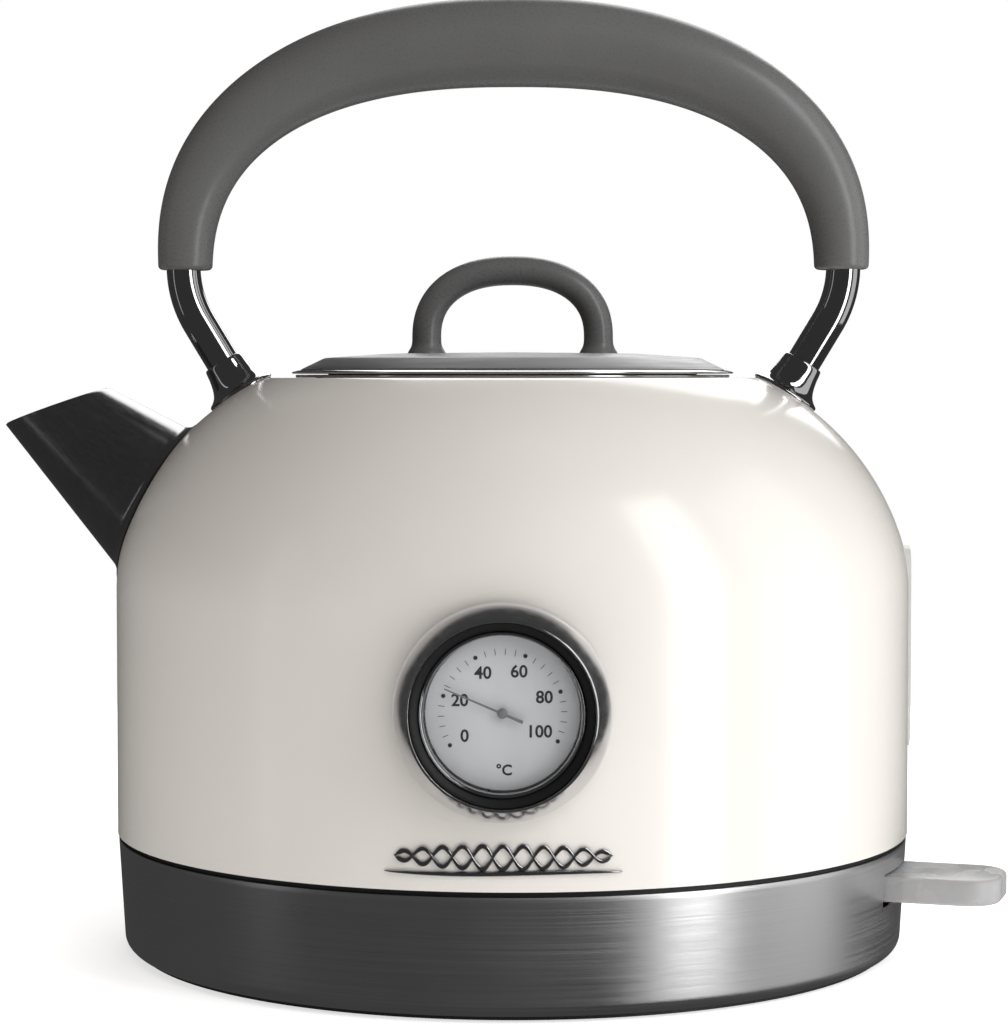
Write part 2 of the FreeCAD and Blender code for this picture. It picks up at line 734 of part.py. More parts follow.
def lid_cover():
    """Satin steel disc with a sloping edge and a slightly domed top."""
    return lathe([
        (0, LID_TOP_Z - 0.9), (30, LID_TOP_Z - 1.3), (44.8, 140.1), (50.3, 137.6), (51.2, 138.1),
        (45.2, 141.0), (30, LID_TOP_Z - 0.4), (0, LID_TOP_Z),
    ]).cut(lid_screw_holes())


def lid_screw_holes():
    """Clearance holes for the two knob screws."""
    holes = []
    for side in (-1, 1):
        holes.append(disc(1.7, 120, 150).translated(Vector(side * KNOB_HALF_WIDTH, 0, 0)))
    return Part.makeCompound(holes)


def lid_trim_ring():
    """Polished ring round the lid's edge."""
    return lathe([(50.2, LID_Z - 0.1), (LID_R, LID_Z - 0.1), (LID_R + 0.1, LID_Z + 0.3), (51.3, 138.05),
                  (50.4, 137.55)])


def lid_plug():
    """Moulded plug under the lid, hollow from below."""
    plug = lathe([
        (0, 135.6), (42.3, 135.6), (42.3, 127), (44.3, 127), (44.3, LID_Z - 0.1), (50.1, LID_Z - 0.1),
        (50.1, 137.5), (44.6, 139.9), (44.0, 139.3), (44.0, 137.4), (0, 137.4),
    ])
    for side in (-1, 1):
        plug = plug.fuse(disc(4.0, 137.0, 140.8).translated(Vector(side * KNOB_HALF_WIDTH, 0, 0)))
    return plug.cut(lid_screw_holes()).removeSplitter()


def lid_seal():
    """Silicone ring round the plug."""
    return ring(44.35, 45.9, 131.4, 134.4)


def lid_knob():
    """Loop knob with two round feet."""
    def radii(t):
        return KNOB_R, KNOB_R + 0.6
    arcs = arch_arcs(KNOB_HALF_WIDTH, KNOB_RISE, KNOB_BASE_Z, KNOB_SIDE_R)
    loop = arch_loft(arch_stations(arcs, (4, 3, 4)), radii)
    for side in (-1, 1):
        leg = Part.makeCone(4.6, KNOB_R, 4.4, Vector(side * KNOB_HALF_WIDTH, 0, LID_TOP_Z - 0.7))
        post = disc(KNOB_R, 144, KNOB_BASE_Z + 0.05).translated(Vector(side * KNOB_HALF_WIDTH, 0, 0))
        loop = loop.fuse(leg).fuse(post)
    loop = loop.cut(lathe([(0, 130), (60, 130), (60, 141.05), (30, LID_TOP_Z - 0.37), (0, LID_TOP_Z + 0.03)]))
    hole = disc(1.55, 130, 150)
    for side in (-1, 1):
        loop = loop.cut(hole.translated(Vector(side * KNOB_HALF_WIDTH, 0, 0)))
    return loop


def lid_screws():
    """Two screws up through the plug into the knob."""
    screws = []
    for side in (-1, 1):
        screw = disc(2.8, 133.8, 135.55).fuse(disc(1.5, 135.5, 149)).removeSplitter()
        screws.append(screw.translated(Vector(side * KNOB_HALF_WIDTH, 0, 0)))
    return Part.makeCompound(screws)


# ---- Window and trim ----

def water_window():
    """Clear gauge strip that stands a little proud of the wall."""
    outer = window_prism(WINDOW_WIDTH, *WINDOW_Z)
    outer = outer.common(disc(BODY_R + WINDOW_PROUD, 30, 120)).cut(vessel(0.02))
    inner = window_prism(WINDOW_WIDTH - 5, WINDOW_Z[0] + 2.5, WINDOW_Z[1] - 2.5)
    inner = inner.common(disc(BODY_R + 0.3, 30, 120)).cut(vessel(-WALL - 2.2))
    return outer.fuse(inner).removeSplitter()


def window_gasket():
    """Seal round the window where it passes through the wall."""
    outer = window_prism(WINDOW_WIDTH - 4.1, WINDOW_Z[0] + 2.05, WINDOW_Z[1] - 2.05)
    outer = outer.cut(window_prism(WINDOW_WIDTH - 4.9, WINDOW_Z[0] + 2.45, WINDOW_Z[1] - 2.45))
    return outer.common(vessel(0)).cut(vessel(-WALL))


def window_frame():
    """Frame clipped round the window inside the wall."""
    outer = window_prism(WINDOW_WIDTH + 2, WINDOW_Z[0] - 1, WINDOW_Z[1] + 1)
    outer = outer.cut(window_prism(WINDOW_WIDTH - 4.9, WINDOW_Z[0] + 2.45, WINDOW_Z[1] - 2.45))
    return outer.common(vessel(-WALL - 0.05)).cut(vessel(-WALL - 2.0))


def trim_ornament():
    """Plain tapered trim bar with a lozenge at its middle, on the front above the band."""
    z = 35.0
    half = 26.0
    outline = [(-half, 0), (-6, 1.1), (-4.2, 1.1), (0, 3.3), (4.2, 1.1), (6, 1.1), (half, 0),
               (6, -1.1), (4.2, -1.1), (0, -3.3), (-4.2, -1.1), (-6, -1.1)]
    corners = [Vector(x, -BODY_R - 2, z + h) for x, h in outline]
    slab = Part.Face(Part.makePolygon(corners + corners[:1])).extrude(Vector(0, 10, 0))
    return slab.common(disc(BODY_R + 0.9, 20, 50)).cut(vessel(0.02))


NODES = [
    body_shell, neck_ring, heating_plate, heat_spreader, heating_element, element_terminals,
    earth_strap, base_band, base_chassis, bottom_cover, cover_screws,
    control_housing, connector_pin, connector_rings, dry_boil_discs, steam_disc, steam_tube,
    lever_pivot, lever_bracket, trip_spring, indicator_lamp, lamp_leads, switch_lever,
    spout, spout_gasket, filter_frame, filter_mesh, filter_guides,
    thermometer_bezel, lens_seal, bezel_inner_ring, dial_lens, dial_face, gauge_can, dial_pillar,
    gauge_probe, bimetal_helix, gauge_seal, gauge_nut, needle, needle_staff,
    handle_tube, handle_grip, handle_feet, foot_gaskets, handle_screws, handle_washers,
    lid_cover, lid_trim_ring, lid_plug, lid_seal, lid_knob, lid_screws,
    water_window, window_gasket, window_frame, trim_ornament,
]

os.makedirs("parts", exist_ok=True)
for make in NODES:
    shape = make()
    shape.exportStep(os.path.join("parts", make.__name__ + ".step"))
    print(make.__name__, "solids", len(shape.Solids), "valid", shape.isValid(),
          "volume", round(shape.Volume, 1))
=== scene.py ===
"""Electric kettle with an enamelled body: its visual model round the CAD frame, with studio and camera.

Shapes are worked out in millimetres with numpy and put into Blender in metres. Each sub-assembly is a class,
each finish is a frozen dataclass, and main() builds them in order.
"""

import json
import logging
import math
from dataclasses import dataclass, field
from enum import Enum

import bmesh
import bpy
import numpy as np
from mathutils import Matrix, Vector


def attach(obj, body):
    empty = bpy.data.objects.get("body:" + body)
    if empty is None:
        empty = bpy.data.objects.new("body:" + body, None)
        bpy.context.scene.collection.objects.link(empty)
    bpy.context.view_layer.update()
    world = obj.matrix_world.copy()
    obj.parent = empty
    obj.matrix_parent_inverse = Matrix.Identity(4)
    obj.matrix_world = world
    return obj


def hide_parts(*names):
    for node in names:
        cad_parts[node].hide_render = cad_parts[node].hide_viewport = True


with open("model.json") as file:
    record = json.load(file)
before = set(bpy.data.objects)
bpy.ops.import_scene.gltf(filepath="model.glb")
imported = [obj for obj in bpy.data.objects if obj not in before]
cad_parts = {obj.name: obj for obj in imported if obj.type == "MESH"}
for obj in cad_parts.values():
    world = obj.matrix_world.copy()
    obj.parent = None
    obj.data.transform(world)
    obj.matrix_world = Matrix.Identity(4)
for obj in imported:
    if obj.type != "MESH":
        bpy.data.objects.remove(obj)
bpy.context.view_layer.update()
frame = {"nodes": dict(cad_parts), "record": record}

LOG = logging.getLogger("kettle")
MM = 0.001
TAU = 2.0 * math.pi
Colour = tuple[float, float, float]
# Points in the quarter turn that rounds an edge
ROUNDING_POINTS = 6
# Most of a side that easing one of its corners may use up
SIDE_SHARE = 0.45
# Noise lies between these two values nearly everywhere
NOISE_LOW, NOISE_HIGH = 0.3, 0.7
# Vertices closer than this are one, in metres
MERGE_DISTANCE = 2e-6


# ---- Shapes ----


@dataclass
class Shape:
    """Points in millimetres with the faces that join them, as one or more closed surfaces."""

    points: np.ndarray
    faces: list

    def plus(self, other: "Shape") -> "Shape":
        """Both shapes as one.

        Args:
            other: The shape to add.

        Returns:
            A shape that holds the faces of the two.
        """
        shift = len(self.points)
        moved = [[corner + shift for corner in face] for face in other.faces]
        return Shape(np.vstack([self.points, other.points]), self.faces + moved)

    def placed(self, axes: np.ndarray, origin: np.ndarray | float = 0.0) -> "Shape":
        """The shape turned and moved: point = origin + x times axis 0 + y times axis 1 + z times axis 2.

        Args:
            axes: The three axes as rows.
            origin: Where the shape's own origin goes, if it moves.

        Returns:
            The moved shape.
        """
        return Shape(self.points @ axes + origin, self.faces)


def turned(degrees: float) -> np.ndarray:
    """Axes as rows, turned anticlockwise about Z by an angle.

    Args:
        degrees: The angle.

    Returns:
        The X, Y and Z axes after the turn.
    """
    a = math.radians(degrees)
    return np.array([(math.cos(a), math.sin(a), 0), (-math.sin(a), math.cos(a), 0), (0, 0, 1)])


def skin(grid: np.ndarray, wrap_rows: bool = False, caps: bool = False) -> Shape:
    """Quads over a grid of points whose columns close on themselves.

    Row i is joined to row i + 1 and column j to column j + 1, the last column to the first.

    Args:
        grid: Points as rows by columns by 3.
        wrap_rows: Whether the last row is joined to the first.
        caps: Whether fans round the mean points of the first and last row close the ends.

    Returns:
        The closed surface.
    """
    rows, columns = grid.shape[:2]
    i, j = np.meshgrid(np.arange(rows if wrap_rows else rows - 1), np.arange(columns), indexing="ij")
    below, beside = (i + 1) % rows, (j + 1) % columns
    corners = [i * columns + j, i * columns + beside, below * columns + beside, below * columns + j]
    faces = np.stack(corners, -1).reshape(-1, 4).tolist()
    points = grid.reshape(-1, 3)
    if caps:
        points = np.vstack([points, grid[0].mean(0), grid[-1].mean(0)])
        here = np.arange(columns)
        beside = (here + 1) % columns
        last = (rows - 1) * columns
        first_pole = np.full(columns, rows * columns)
        faces += np.stack([beside, here, first_pole], -1).tolist()
        faces += np.stack([last + here, last + beside, first_pole + 1], -1).tolist()
    return Shape(points, faces)


def eased(outline: np.ndarray, ease: float | np.ndarray, steps: int = 4, closed: bool = True) -> np.ndarray:
    """Outline with each corner P replaced by the curve (1-u)^2 A + 2u(1-u) P + u^2 B.

    A and B lie an ease away from P along the sides that meet there, at most SIDE_SHARE of each side.

    Args:
        outline: Corners as n by 2.
        ease: Distance for every corner, or one for each.
        steps: Points per corner.
        closed: Whether the last corner is followed by the first; if not, both ends stay as they are.

    Returns:
        The points of the softened outline.
    """
    before = np.roll(outline, 1, 0) - outline
    after = np.roll(outline, -1, 0) - outline
    reach = np.broadcast_to(np.asarray(ease, float), (len(outline),)).copy()
    if not closed:
        reach[0] = reach[-1] = 0.0
    u = np.linspace(0.0, 1.0, steps)[None, :, None]
    lengths = [np.linalg.norm(side, axis=1) for side in (before, after)]
    a, b = [outline + side * (np.minimum(reach, SIDE_SHARE * length) / np.maximum(length, 1e-9))[:, None]
            for side, length in zip((before, after), lengths)]
    curve = (1 - u) ** 2 * a[:, None] + 2 * u * (1 - u) * outline[:, None] + u ** 2 * b[:, None]
    if not closed:
        return np.vstack([outline[:1], curve[1:-1].reshape(-1, 2), outline[-1:]])
    return curve.reshape(-1, 2)


def lathe(profile: np.ndarray, closed: bool = True, steps: int = 192) -> Shape:
    """Surface turned about Z: x = r cos a, y = r sin a, z = h over a full turn of a.

    Args:
        profile: (radius, height) points, a closed loop or an open line that ends near the axis.
        closed: Whether the profile is a closed loop.
        steps: Columns in a turn.

    Returns:
        The turned surface.
    """
    a = TAU * np.arange(steps) / steps
    r, h = profile[:, :1], profile[:, 1:]
    grid = np.stack([r * np.cos(a), r * np.sin(a), h + 0 * a], -1)
    return skin(grid, wrap_rows=closed, caps=not closed)


def bar(centre: np.ndarray, in_plane: np.ndarray, depth: np.ndarray, ease: float, sides: int = 40) -> Shape:
    """Round bar along a path in the XZ plane, with softened ends.

    A section point is centre + n w cos b + y d sin b, where n is the path's normal in the plane. At each end
    the radii shrink by ease (1 - cos q) over a length of ease sin q, for q from 0 to a quarter turn.

    Args:
        centre: Path points as n by 3.
        in_plane: Radius w at each point.
        depth: Radius d at each point.
        ease: Radius of the ends' rounding.
        sides: Points round a section.

    Returns:
        The closed bar.
    """
    tangent = np.gradient(centre, axis=0)
    tangent /= np.linalg.norm(tangent, axis=1, keepdims=True)
    q = np.linspace(0.0, math.pi / 2, ROUNDING_POINTS)[1:]
    along, less = ease * np.sin(q), ease * (1 - np.cos(q))
    head = centre[0] - tangent[0] * along[::-1, None]
    tail = centre[-1] + tangent[-1] * along[:, None]
    path = np.vstack([head, centre, tail])
    tangent = np.vstack([np.repeat(tangent[:1], len(q), 0), tangent, np.repeat(tangent[-1:], len(q), 0)])
    w, d = [np.concatenate([r[0] - less[::-1], r, r[-1] - less]) for r in (in_plane, depth)]
    normal = np.stack([-tangent[:, 2], 0 * tangent[:, 0], tangent[:, 0]], -1)
    b = TAU * np.arange(sides) / sides
    grid = path[:, None] + normal[:, None] * (w[:, None] * np.cos(b))[..., None]
    grid[..., 1] += d[:, None] * np.sin(b)
    return skin(grid, caps=True)


def slab(outline: np.ndarray, low: float, high: float, ease: float) -> Shape:
    """Flat plate of a convex or slender outline with softened edges.

    Row for angle q: the outline moved inwards by ease (1 - cos q), and up or down from the side by
    ease sin q.

    Args:
        outline: Corners as n by 2, anticlockwise.
        low: Height of the underside.
        high: Height of the top.
        ease: Radius of the edges.

    Returns:
        The closed plate.
    """
    side = np.roll(outline, -1, 0) - np.roll(outline, 1, 0)
    inward = np.stack([-side[:, 1], side[:, 0]], -1)
    inward /= np.maximum(np.linalg.norm(inward, axis=1, keepdims=True), 1e-9)
    q = np.linspace(0.0, math.pi / 2, ROUNDING_POINTS)
    moves = np.concatenate([(1 - np.cos(q))[::-1], 1 - np.cos(q)]) * ease
    heights = np.concatenate([low + ease - (ease * np.sin(q))[::-1], high - ease + ease * np.sin(q)])
    flat = outline[None] + inward[None] * moves[:, None, None]
    grid = np.concatenate([flat, np.broadcast_to(heights[:, None, None], flat.shape[:2] + (1,))], -1)
    return skin(grid, caps=True)


def superellipse(half_width: float, rise: float, base: float, power: float, steps: int) -> np.ndarray:
    """Arch |x / a|^n + |z / b|^n = 1 above a base height, with evenly spaced points.

    Args:
        half_width: a.
        rise: b.
        base: Height of the arch's ends.
        power: n.
        steps: Number of points.

    Returns:
        Points in the XZ plane from -X over the top to +X, as steps by 3.
    """
    t = np.linspace(math.pi, 0.0, 4001)
    c, s = np.cos(t), np.sin(t)
    x = np.sign(c) * np.abs(c) ** (2 / power) * half_width
    z = np.abs(s) ** (2 / power) * rise + base
    run = np.concatenate([[0.0], np.cumsum(np.hypot(np.diff(x), np.diff(z)))])
    even = np.linspace(0.0, run[-1], steps)
    return np.stack([np.interp(even, run, x), np.zeros(steps), np.interp(even, run, z)], -1)


def arc(centre: tuple[float, float], radius: float, start: float, end: float, steps: int) -> np.ndarray:
    """Points of a circular arc in a plane.

    Args:
        centre: Centre of the circle.
        radius: Its radius.
        start: First angle in degrees.
        end: Last angle in degrees.
        steps: Number of points.

    Returns:
        Points as steps by 2.
    """
    a = np.radians(np.linspace(start, end, steps))
    return np.stack([centre[0] + radius * np.cos(a), centre[1] + radius * np.sin(a)], -1)


# ---- Node materials ----


class Grain(Enum):
    """How a finish's pattern lies on its piece."""

    EVEN = "the same in every direction"
    ROUND = "lines that run round the upright axis"
    SPOUT = "lines along the spout's axis"


class Graph:
    """A node material being wired: its Principled shader and short calls that add nodes."""

    def __init__(self, name: str) -> None:
        """Starts a material with its Principled shader.

        Args:
            name: The material's name.
        """
        self.material = bpy.data.materials.new(name)
        self.material.use_nodes = True
        self.tree = self.material.node_tree
        self.shader = next(n for n in self.tree.nodes if n.type == "BSDF_PRINCIPLED")

    def node(self, kind: str, settings: dict, inputs: dict) -> bpy.types.Node:
        """Adds a node.

        Args:
            kind: Blender's name for the node.
            settings: Attributes to set on it.
            inputs: Values or sockets for its inputs, by name or number.

        Returns:
            The new node.
        """
        made = self.tree.nodes.new(kind)
        for key, value in settings.items():
            setattr(made, key, value)
        for key, value in inputs.items():
            self.feed(made.inputs[key], value)
        return made

    def feed(self, socket: bpy.types.NodeSocket, value: object) -> None:
        """Links a socket or sets a value on an input.

        Args:
            socket: The input.
            value: An output socket, or a plain value.
        """
        if isinstance(value, bpy.types.NodeSocket):
            self.tree.links.new(value, socket)
        elif isinstance(value, tuple) and len(value) == 3 and socket.type == "RGBA":
            socket.default_value = (*value, 1.0)
        else:
            socket.default_value = value

    def set(self, **values: object) -> None:
        """Sets or links inputs of the Principled shader, with underscores for the spaces in their names."""
        for key, value in values.items():
            self.feed(self.shader.inputs[key.replace("_", " ")], value)

    def place(self, grain: Grain, along: float, across: float) -> bpy.types.NodeSocket:
        """Coordinates for a pattern, from the piece's own Object coordinates.

        Args:
            grain: How the pattern lies.
            along: Pattern units in a metre along its lines.
            across: Pattern units in a metre across them.

        Returns:
            The coordinates' socket.
        """
        own = self.node("ShaderNodeTexCoord", {}, {}).outputs["Object"]
        if grain is Grain.ROUND:
            parts = self.node("ShaderNodeSeparateXYZ", {}, {0: own})
            flat = self.node("ShaderNodeCombineXYZ", {}, {0: parts.outputs[0], 1: parts.outputs[1]})
            turn = self.node("ShaderNodeVectorMath", {"operation": "NORMALIZE"}, {0: flat.outputs[0]})
            # The height and the radius both step the lines, so walls and flat discs get them alike
            radius = self.node("ShaderNodeVectorMath", {"operation": "LENGTH"}, {0: flat.outputs[0]})
            step = self.node("ShaderNodeMath", {"operation": "ADD"},
                             {0: parts.outputs[2], 1: radius.outputs["Value"]})
            lines = self.node("ShaderNodeMath", {"operation": "MULTIPLY"}, {0: step.outputs[0], 1: across})
            slow = self.node("ShaderNodeVectorMath", {"operation": "MULTIPLY"},
                             {0: turn.outputs[0], 1: (along * 0.1,) * 3})
            lift = self.node("ShaderNodeCombineXYZ", {}, {2: lines.outputs[0]})
            both = self.node("ShaderNodeVectorMath", {}, {0: slow.outputs[0], 1: lift.outputs[0]})
            return both.outputs[0]
        lined_up = own
        if grain is Grain.SPOUT:
            tilt = math.radians(Spout.tilt)
            lined_up = self.node("ShaderNodeMapping", {}, {0: own, 2: (0.0, -tilt, 0.0)}).outputs[0]
        scaled = self.node("ShaderNodeVectorMath", {"operation": "MULTIPLY"},
                           {0: lined_up, 1: (along, across, across)})
        return scaled.outputs[0]

    def noise(self, place: bpy.types.NodeSocket, scale: float, detail: float = 3.0) -> bpy.types.NodeSocket:
        """Cloudy noise from 0 to 1 at some coordinates; larger scales give finer clouds."""
        made = self.node("ShaderNodeTexNoise", {}, {"Vector": place, "Scale": scale, "Detail": detail})
        return made.outputs[0]

    def between(self, amount: bpy.types.NodeSocket, low: float, high: float) -> bpy.types.NodeSocket:
        """A value spread from noise's usual range over low to high."""
        made = self.node("ShaderNodeMapRange", {},
                         {0: amount, 1: NOISE_LOW, 2: NOISE_HIGH, 3: low, 4: high})
        return made.outputs[0]

    def tone(self, amount: bpy.types.NodeSocket, dark: Colour, light: Colour) -> bpy.types.NodeSocket:
        """A colour spread from dark to light over noise's usual range.

        Args:
            amount: The noise.
            dark: Colour at the low end.
            light: Colour at the high end.

        Returns:
            The colour's socket.
        """
        made = self.node("ShaderNodeValToRGB", {}, {0: amount})
        low, high = made.color_ramp.elements
        low.position, high.position = NOISE_LOW, NOISE_HIGH
        low.color, high.color = (*dark, 1.0), (*light, 1.0)
        return made.outputs[0]

    def bump(self, height: bpy.types.NodeSocket, strength: float, distance: float) -> None:
        """Feeds a height pattern to the shader's normal; distance is the relief in metres."""
        made = self.node("ShaderNodeBump", {},
                         {"Strength": strength, "Distance": distance, "Height": height})
        self.set(Normal=made.outputs[0])


def shade(colour: Colour, share: float) -> Colour:
    """A colour times a share, at most white."""
    return tuple(min(1.0, part * share) for part in colour)


def grey(level: float) -> Colour:
    """A neutral colour."""
    return level, level, level


@dataclass(frozen=True)
class Enamel:
    """Glossy stoved enamel with faint orange peel and a slight drift of tone."""

    name: str = "cream_enamel"
    colour: Colour = (0.83, 0.80, 0.755)
    roughness: float = 0.22

    def make(self) -> bpy.types.Material:
        """Wires the finish.

        Returns:
            Its node material.
        """
        graph = Graph(self.name)
        clouds = graph.noise(graph.place(Grain.EVEN, 1.0, 1.0), 22.0)
        peel = graph.noise(graph.place(Grain.EVEN, 1.0, 1.0), 420.0, 2.0)
        graph.set(Base_Color=graph.tone(clouds, shade(self.colour, 0.985), shade(self.colour, 1.015)))
        graph.set(Roughness=graph.between(peel, self.roughness - 0.02, self.roughness + 0.03))
        graph.set(Coat_Weight=0.5, Coat_Roughness=0.13, IOR=1.5)
        graph.bump(peel, 0.06, 0.00012)
        return graph.material


@dataclass(frozen=True)
class Metal:
    """Metal with brushed or polished lines: streaks in its tone, its roughness and its relief."""

    name: str
    colour: Colour
    roughness: float = 0.3
    streak: float = 0.12
    relief: float = 0.2
    grain: Grain = Grain.EVEN
    along: float = 30.0
    across: float = 2500.0

    def make(self) -> bpy.types.Material:
        """Wires the finish.

        Returns:
            Its node material.
        """
        graph = Graph(self.name)
        fine = graph.noise(graph.place(self.grain, self.along, self.across), 1.0, 5.0)
        stain = graph.noise(graph.place(Grain.EVEN, 1.0, 1.0), 34.0)
        both = graph.node("ShaderNodeMix", {"data_type": "FLOAT"}, {0: 0.35, 2: fine, 3: stain}).outputs[0]
        dark, light = shade(self.colour, 1 - self.streak), shade(self.colour, 1 + self.streak)
        graph.set(Base_Color=graph.tone(both, dark, light), Metallic=1.0)
        spread = self.roughness * 0.3
        graph.set(Roughness=graph.between(both, self.roughness - spread, self.roughness + spread))
        graph.bump(fine, self.relief, 0.00003)
        return graph.material


@dataclass(frozen=True)
class Plastic:
    """Moulded plastic or rubber with a fine spark-eroded grain."""

    name: str
    colour: Colour
    roughness: float = 0.45
    relief: float = 0.15
    drift: float = 0.05
    grain_scale: float = 1500.0

    def make(self) -> bpy.types.Material:
        """Wires the finish.

        Returns:
            Its node material.
        """
        graph = Graph(self.name)
        fine = graph.noise(graph.place(Grain.EVEN, 1.0, 1.0), self.grain_scale, 2.0)
        clouds = graph.noise(graph.place(Grain.EVEN, 1.0, 1.0), 40.0)
        dark, light = shade(self.colour, 1 - self.drift), shade(self.colour, 1 + self.drift)
        graph.set(Base_Color=graph.tone(clouds, dark, light))
        graph.set(Roughness=graph.between(fine, self.roughness - 0.06, self.roughness + 0.06))
        graph.bump(fine, self.relief, 0.00006)
        return graph.material


@dataclass(frozen=True)
class ClearPlastic:
    """See-through plastic or glass, with faint waves and haze."""

    name: str
    colour: Colour
    alpha: float = 0.2
    roughness: float = 0.08
    milk: float = 0.0

    def make(self) -> bpy.types.Material:
        """Wires the finish.

        Returns:
            Its node material.
        """
        graph = Graph(self.name)
        haze = graph.noise(graph.place(Grain.EVEN, 1.0, 1.0), 120.0)
        graph.set(Base_Color=graph.tone(haze, shade(self.colour, 0.96), shade(self.colour, 1.03)))
        graph.set(Roughness=graph.between(haze, self.roughness * 0.8, self.roughness * 1.4))
        graph.set(Alpha=self.alpha, IOR=1.49)
        if self.milk:
            graph.set(Subsurface_Weight=self.milk, Subsurface_Scale=0.004)
        graph.bump(haze, 0.05, 0.0001)
        return graph.material


CHROME = Metal("mirror_chrome", (0.50, 0.50, 0.51), 0.07, 0.03, 0.02, Grain.EVEN, 600.0, 600.0)
FINISHES = {
    "enamel": Enamel(),
    "polished_steel": Metal("polished_steel", grey(0.52), 0.12, 0.08, 0.05, Grain.ROUND, 20.0, 900.0),
    "inner_steel": Metal("inner_steel", (0.74, 0.74, 0.73), 0.44, 0.08, 0.15, Grain.ROUND, 20.0, 1800.0),
    "aluminium": Metal("cast_aluminium", (0.70, 0.70, 0.71), 0.42, 0.08, 0.3, Grain.EVEN, 700.0, 700.0),
    "plated_steel": Metal("plated_steel", (0.64, 0.64, 0.62), 0.30, 0.10, 0.1, Grain.EVEN, 400.0, 400.0),
    "copper_alloy": Metal("brass", (0.72, 0.53, 0.25), 0.28, 0.10, 0.1, Grain.EVEN, 400.0, 400.0),
    "brushed_steel": Metal("brushed_skirt", grey(0.82), 0.37, 0.08, 0.14, Grain.ROUND, 14.0, 4200.0),
    "black_plastic": Plastic("black_plastic", grey(0.012), 0.5),
    "clear_plastic": ClearPlastic("window_plastic", (0.66, 0.66, 0.64), 0.62, 0.12),
    "black_rubber": Plastic("black_rubber", grey(0.010), 0.6, 0.25),
    "lever_plastic": ClearPlastic("lever_plastic", (0.44, 0.445, 0.45), 0.82, 0.24, 0.25),
    "spout_steel": Metal("spout_steel", grey(0.40), 0.22, 0.12, 0.05, Grain.SPOUT, 22.0, 1700.0),
    "filter_plastic": Plastic("filter_plastic", (0.66, 0.66, 0.64), 0.45),
    "chrome_trim": CHROME,
    "lens_glass": ClearPlastic("lens_glass", (0.30, 0.31, 0.32), 0.05, 0.03),
    "dial_silver": Plastic("dial_silver", (0.63, 0.645, 0.665), 0.42, 0.25, 0.07, 2600.0),
    "needle_grey": Plastic("needle_grey", (0.18, 0.18, 0.19), 0.35, 0.05),
    "grip_grey": Plastic("grip_grey", grey(0.135), 0.30, 0.06, 0.05, 1900.0),
    "lid_grey": Metal("lid_satin_steel", grey(0.39), 0.46, 0.10, 0.16, Grain.ROUND, 20.0, 1700.0),
    "plug_plastic": Plastic("plug_plastic", grey(0.035), 0.42),
}
BEZEL = Metal("bezel_chrome", (0.72, 0.72, 0.73), 0.13, 0.05, 0.03, Grain.EVEN, 500.0, 500.0)
FLOURISH = Metal("flourish_steel", (0.50, 0.50, 0.51), 0.22, 0.06, 0.05, Grain.EVEN, 500.0, 500.0)
INK = Plastic("dial_ink", (0.012, 0.012, 0.013), 0.7, 0.05, 0.2)


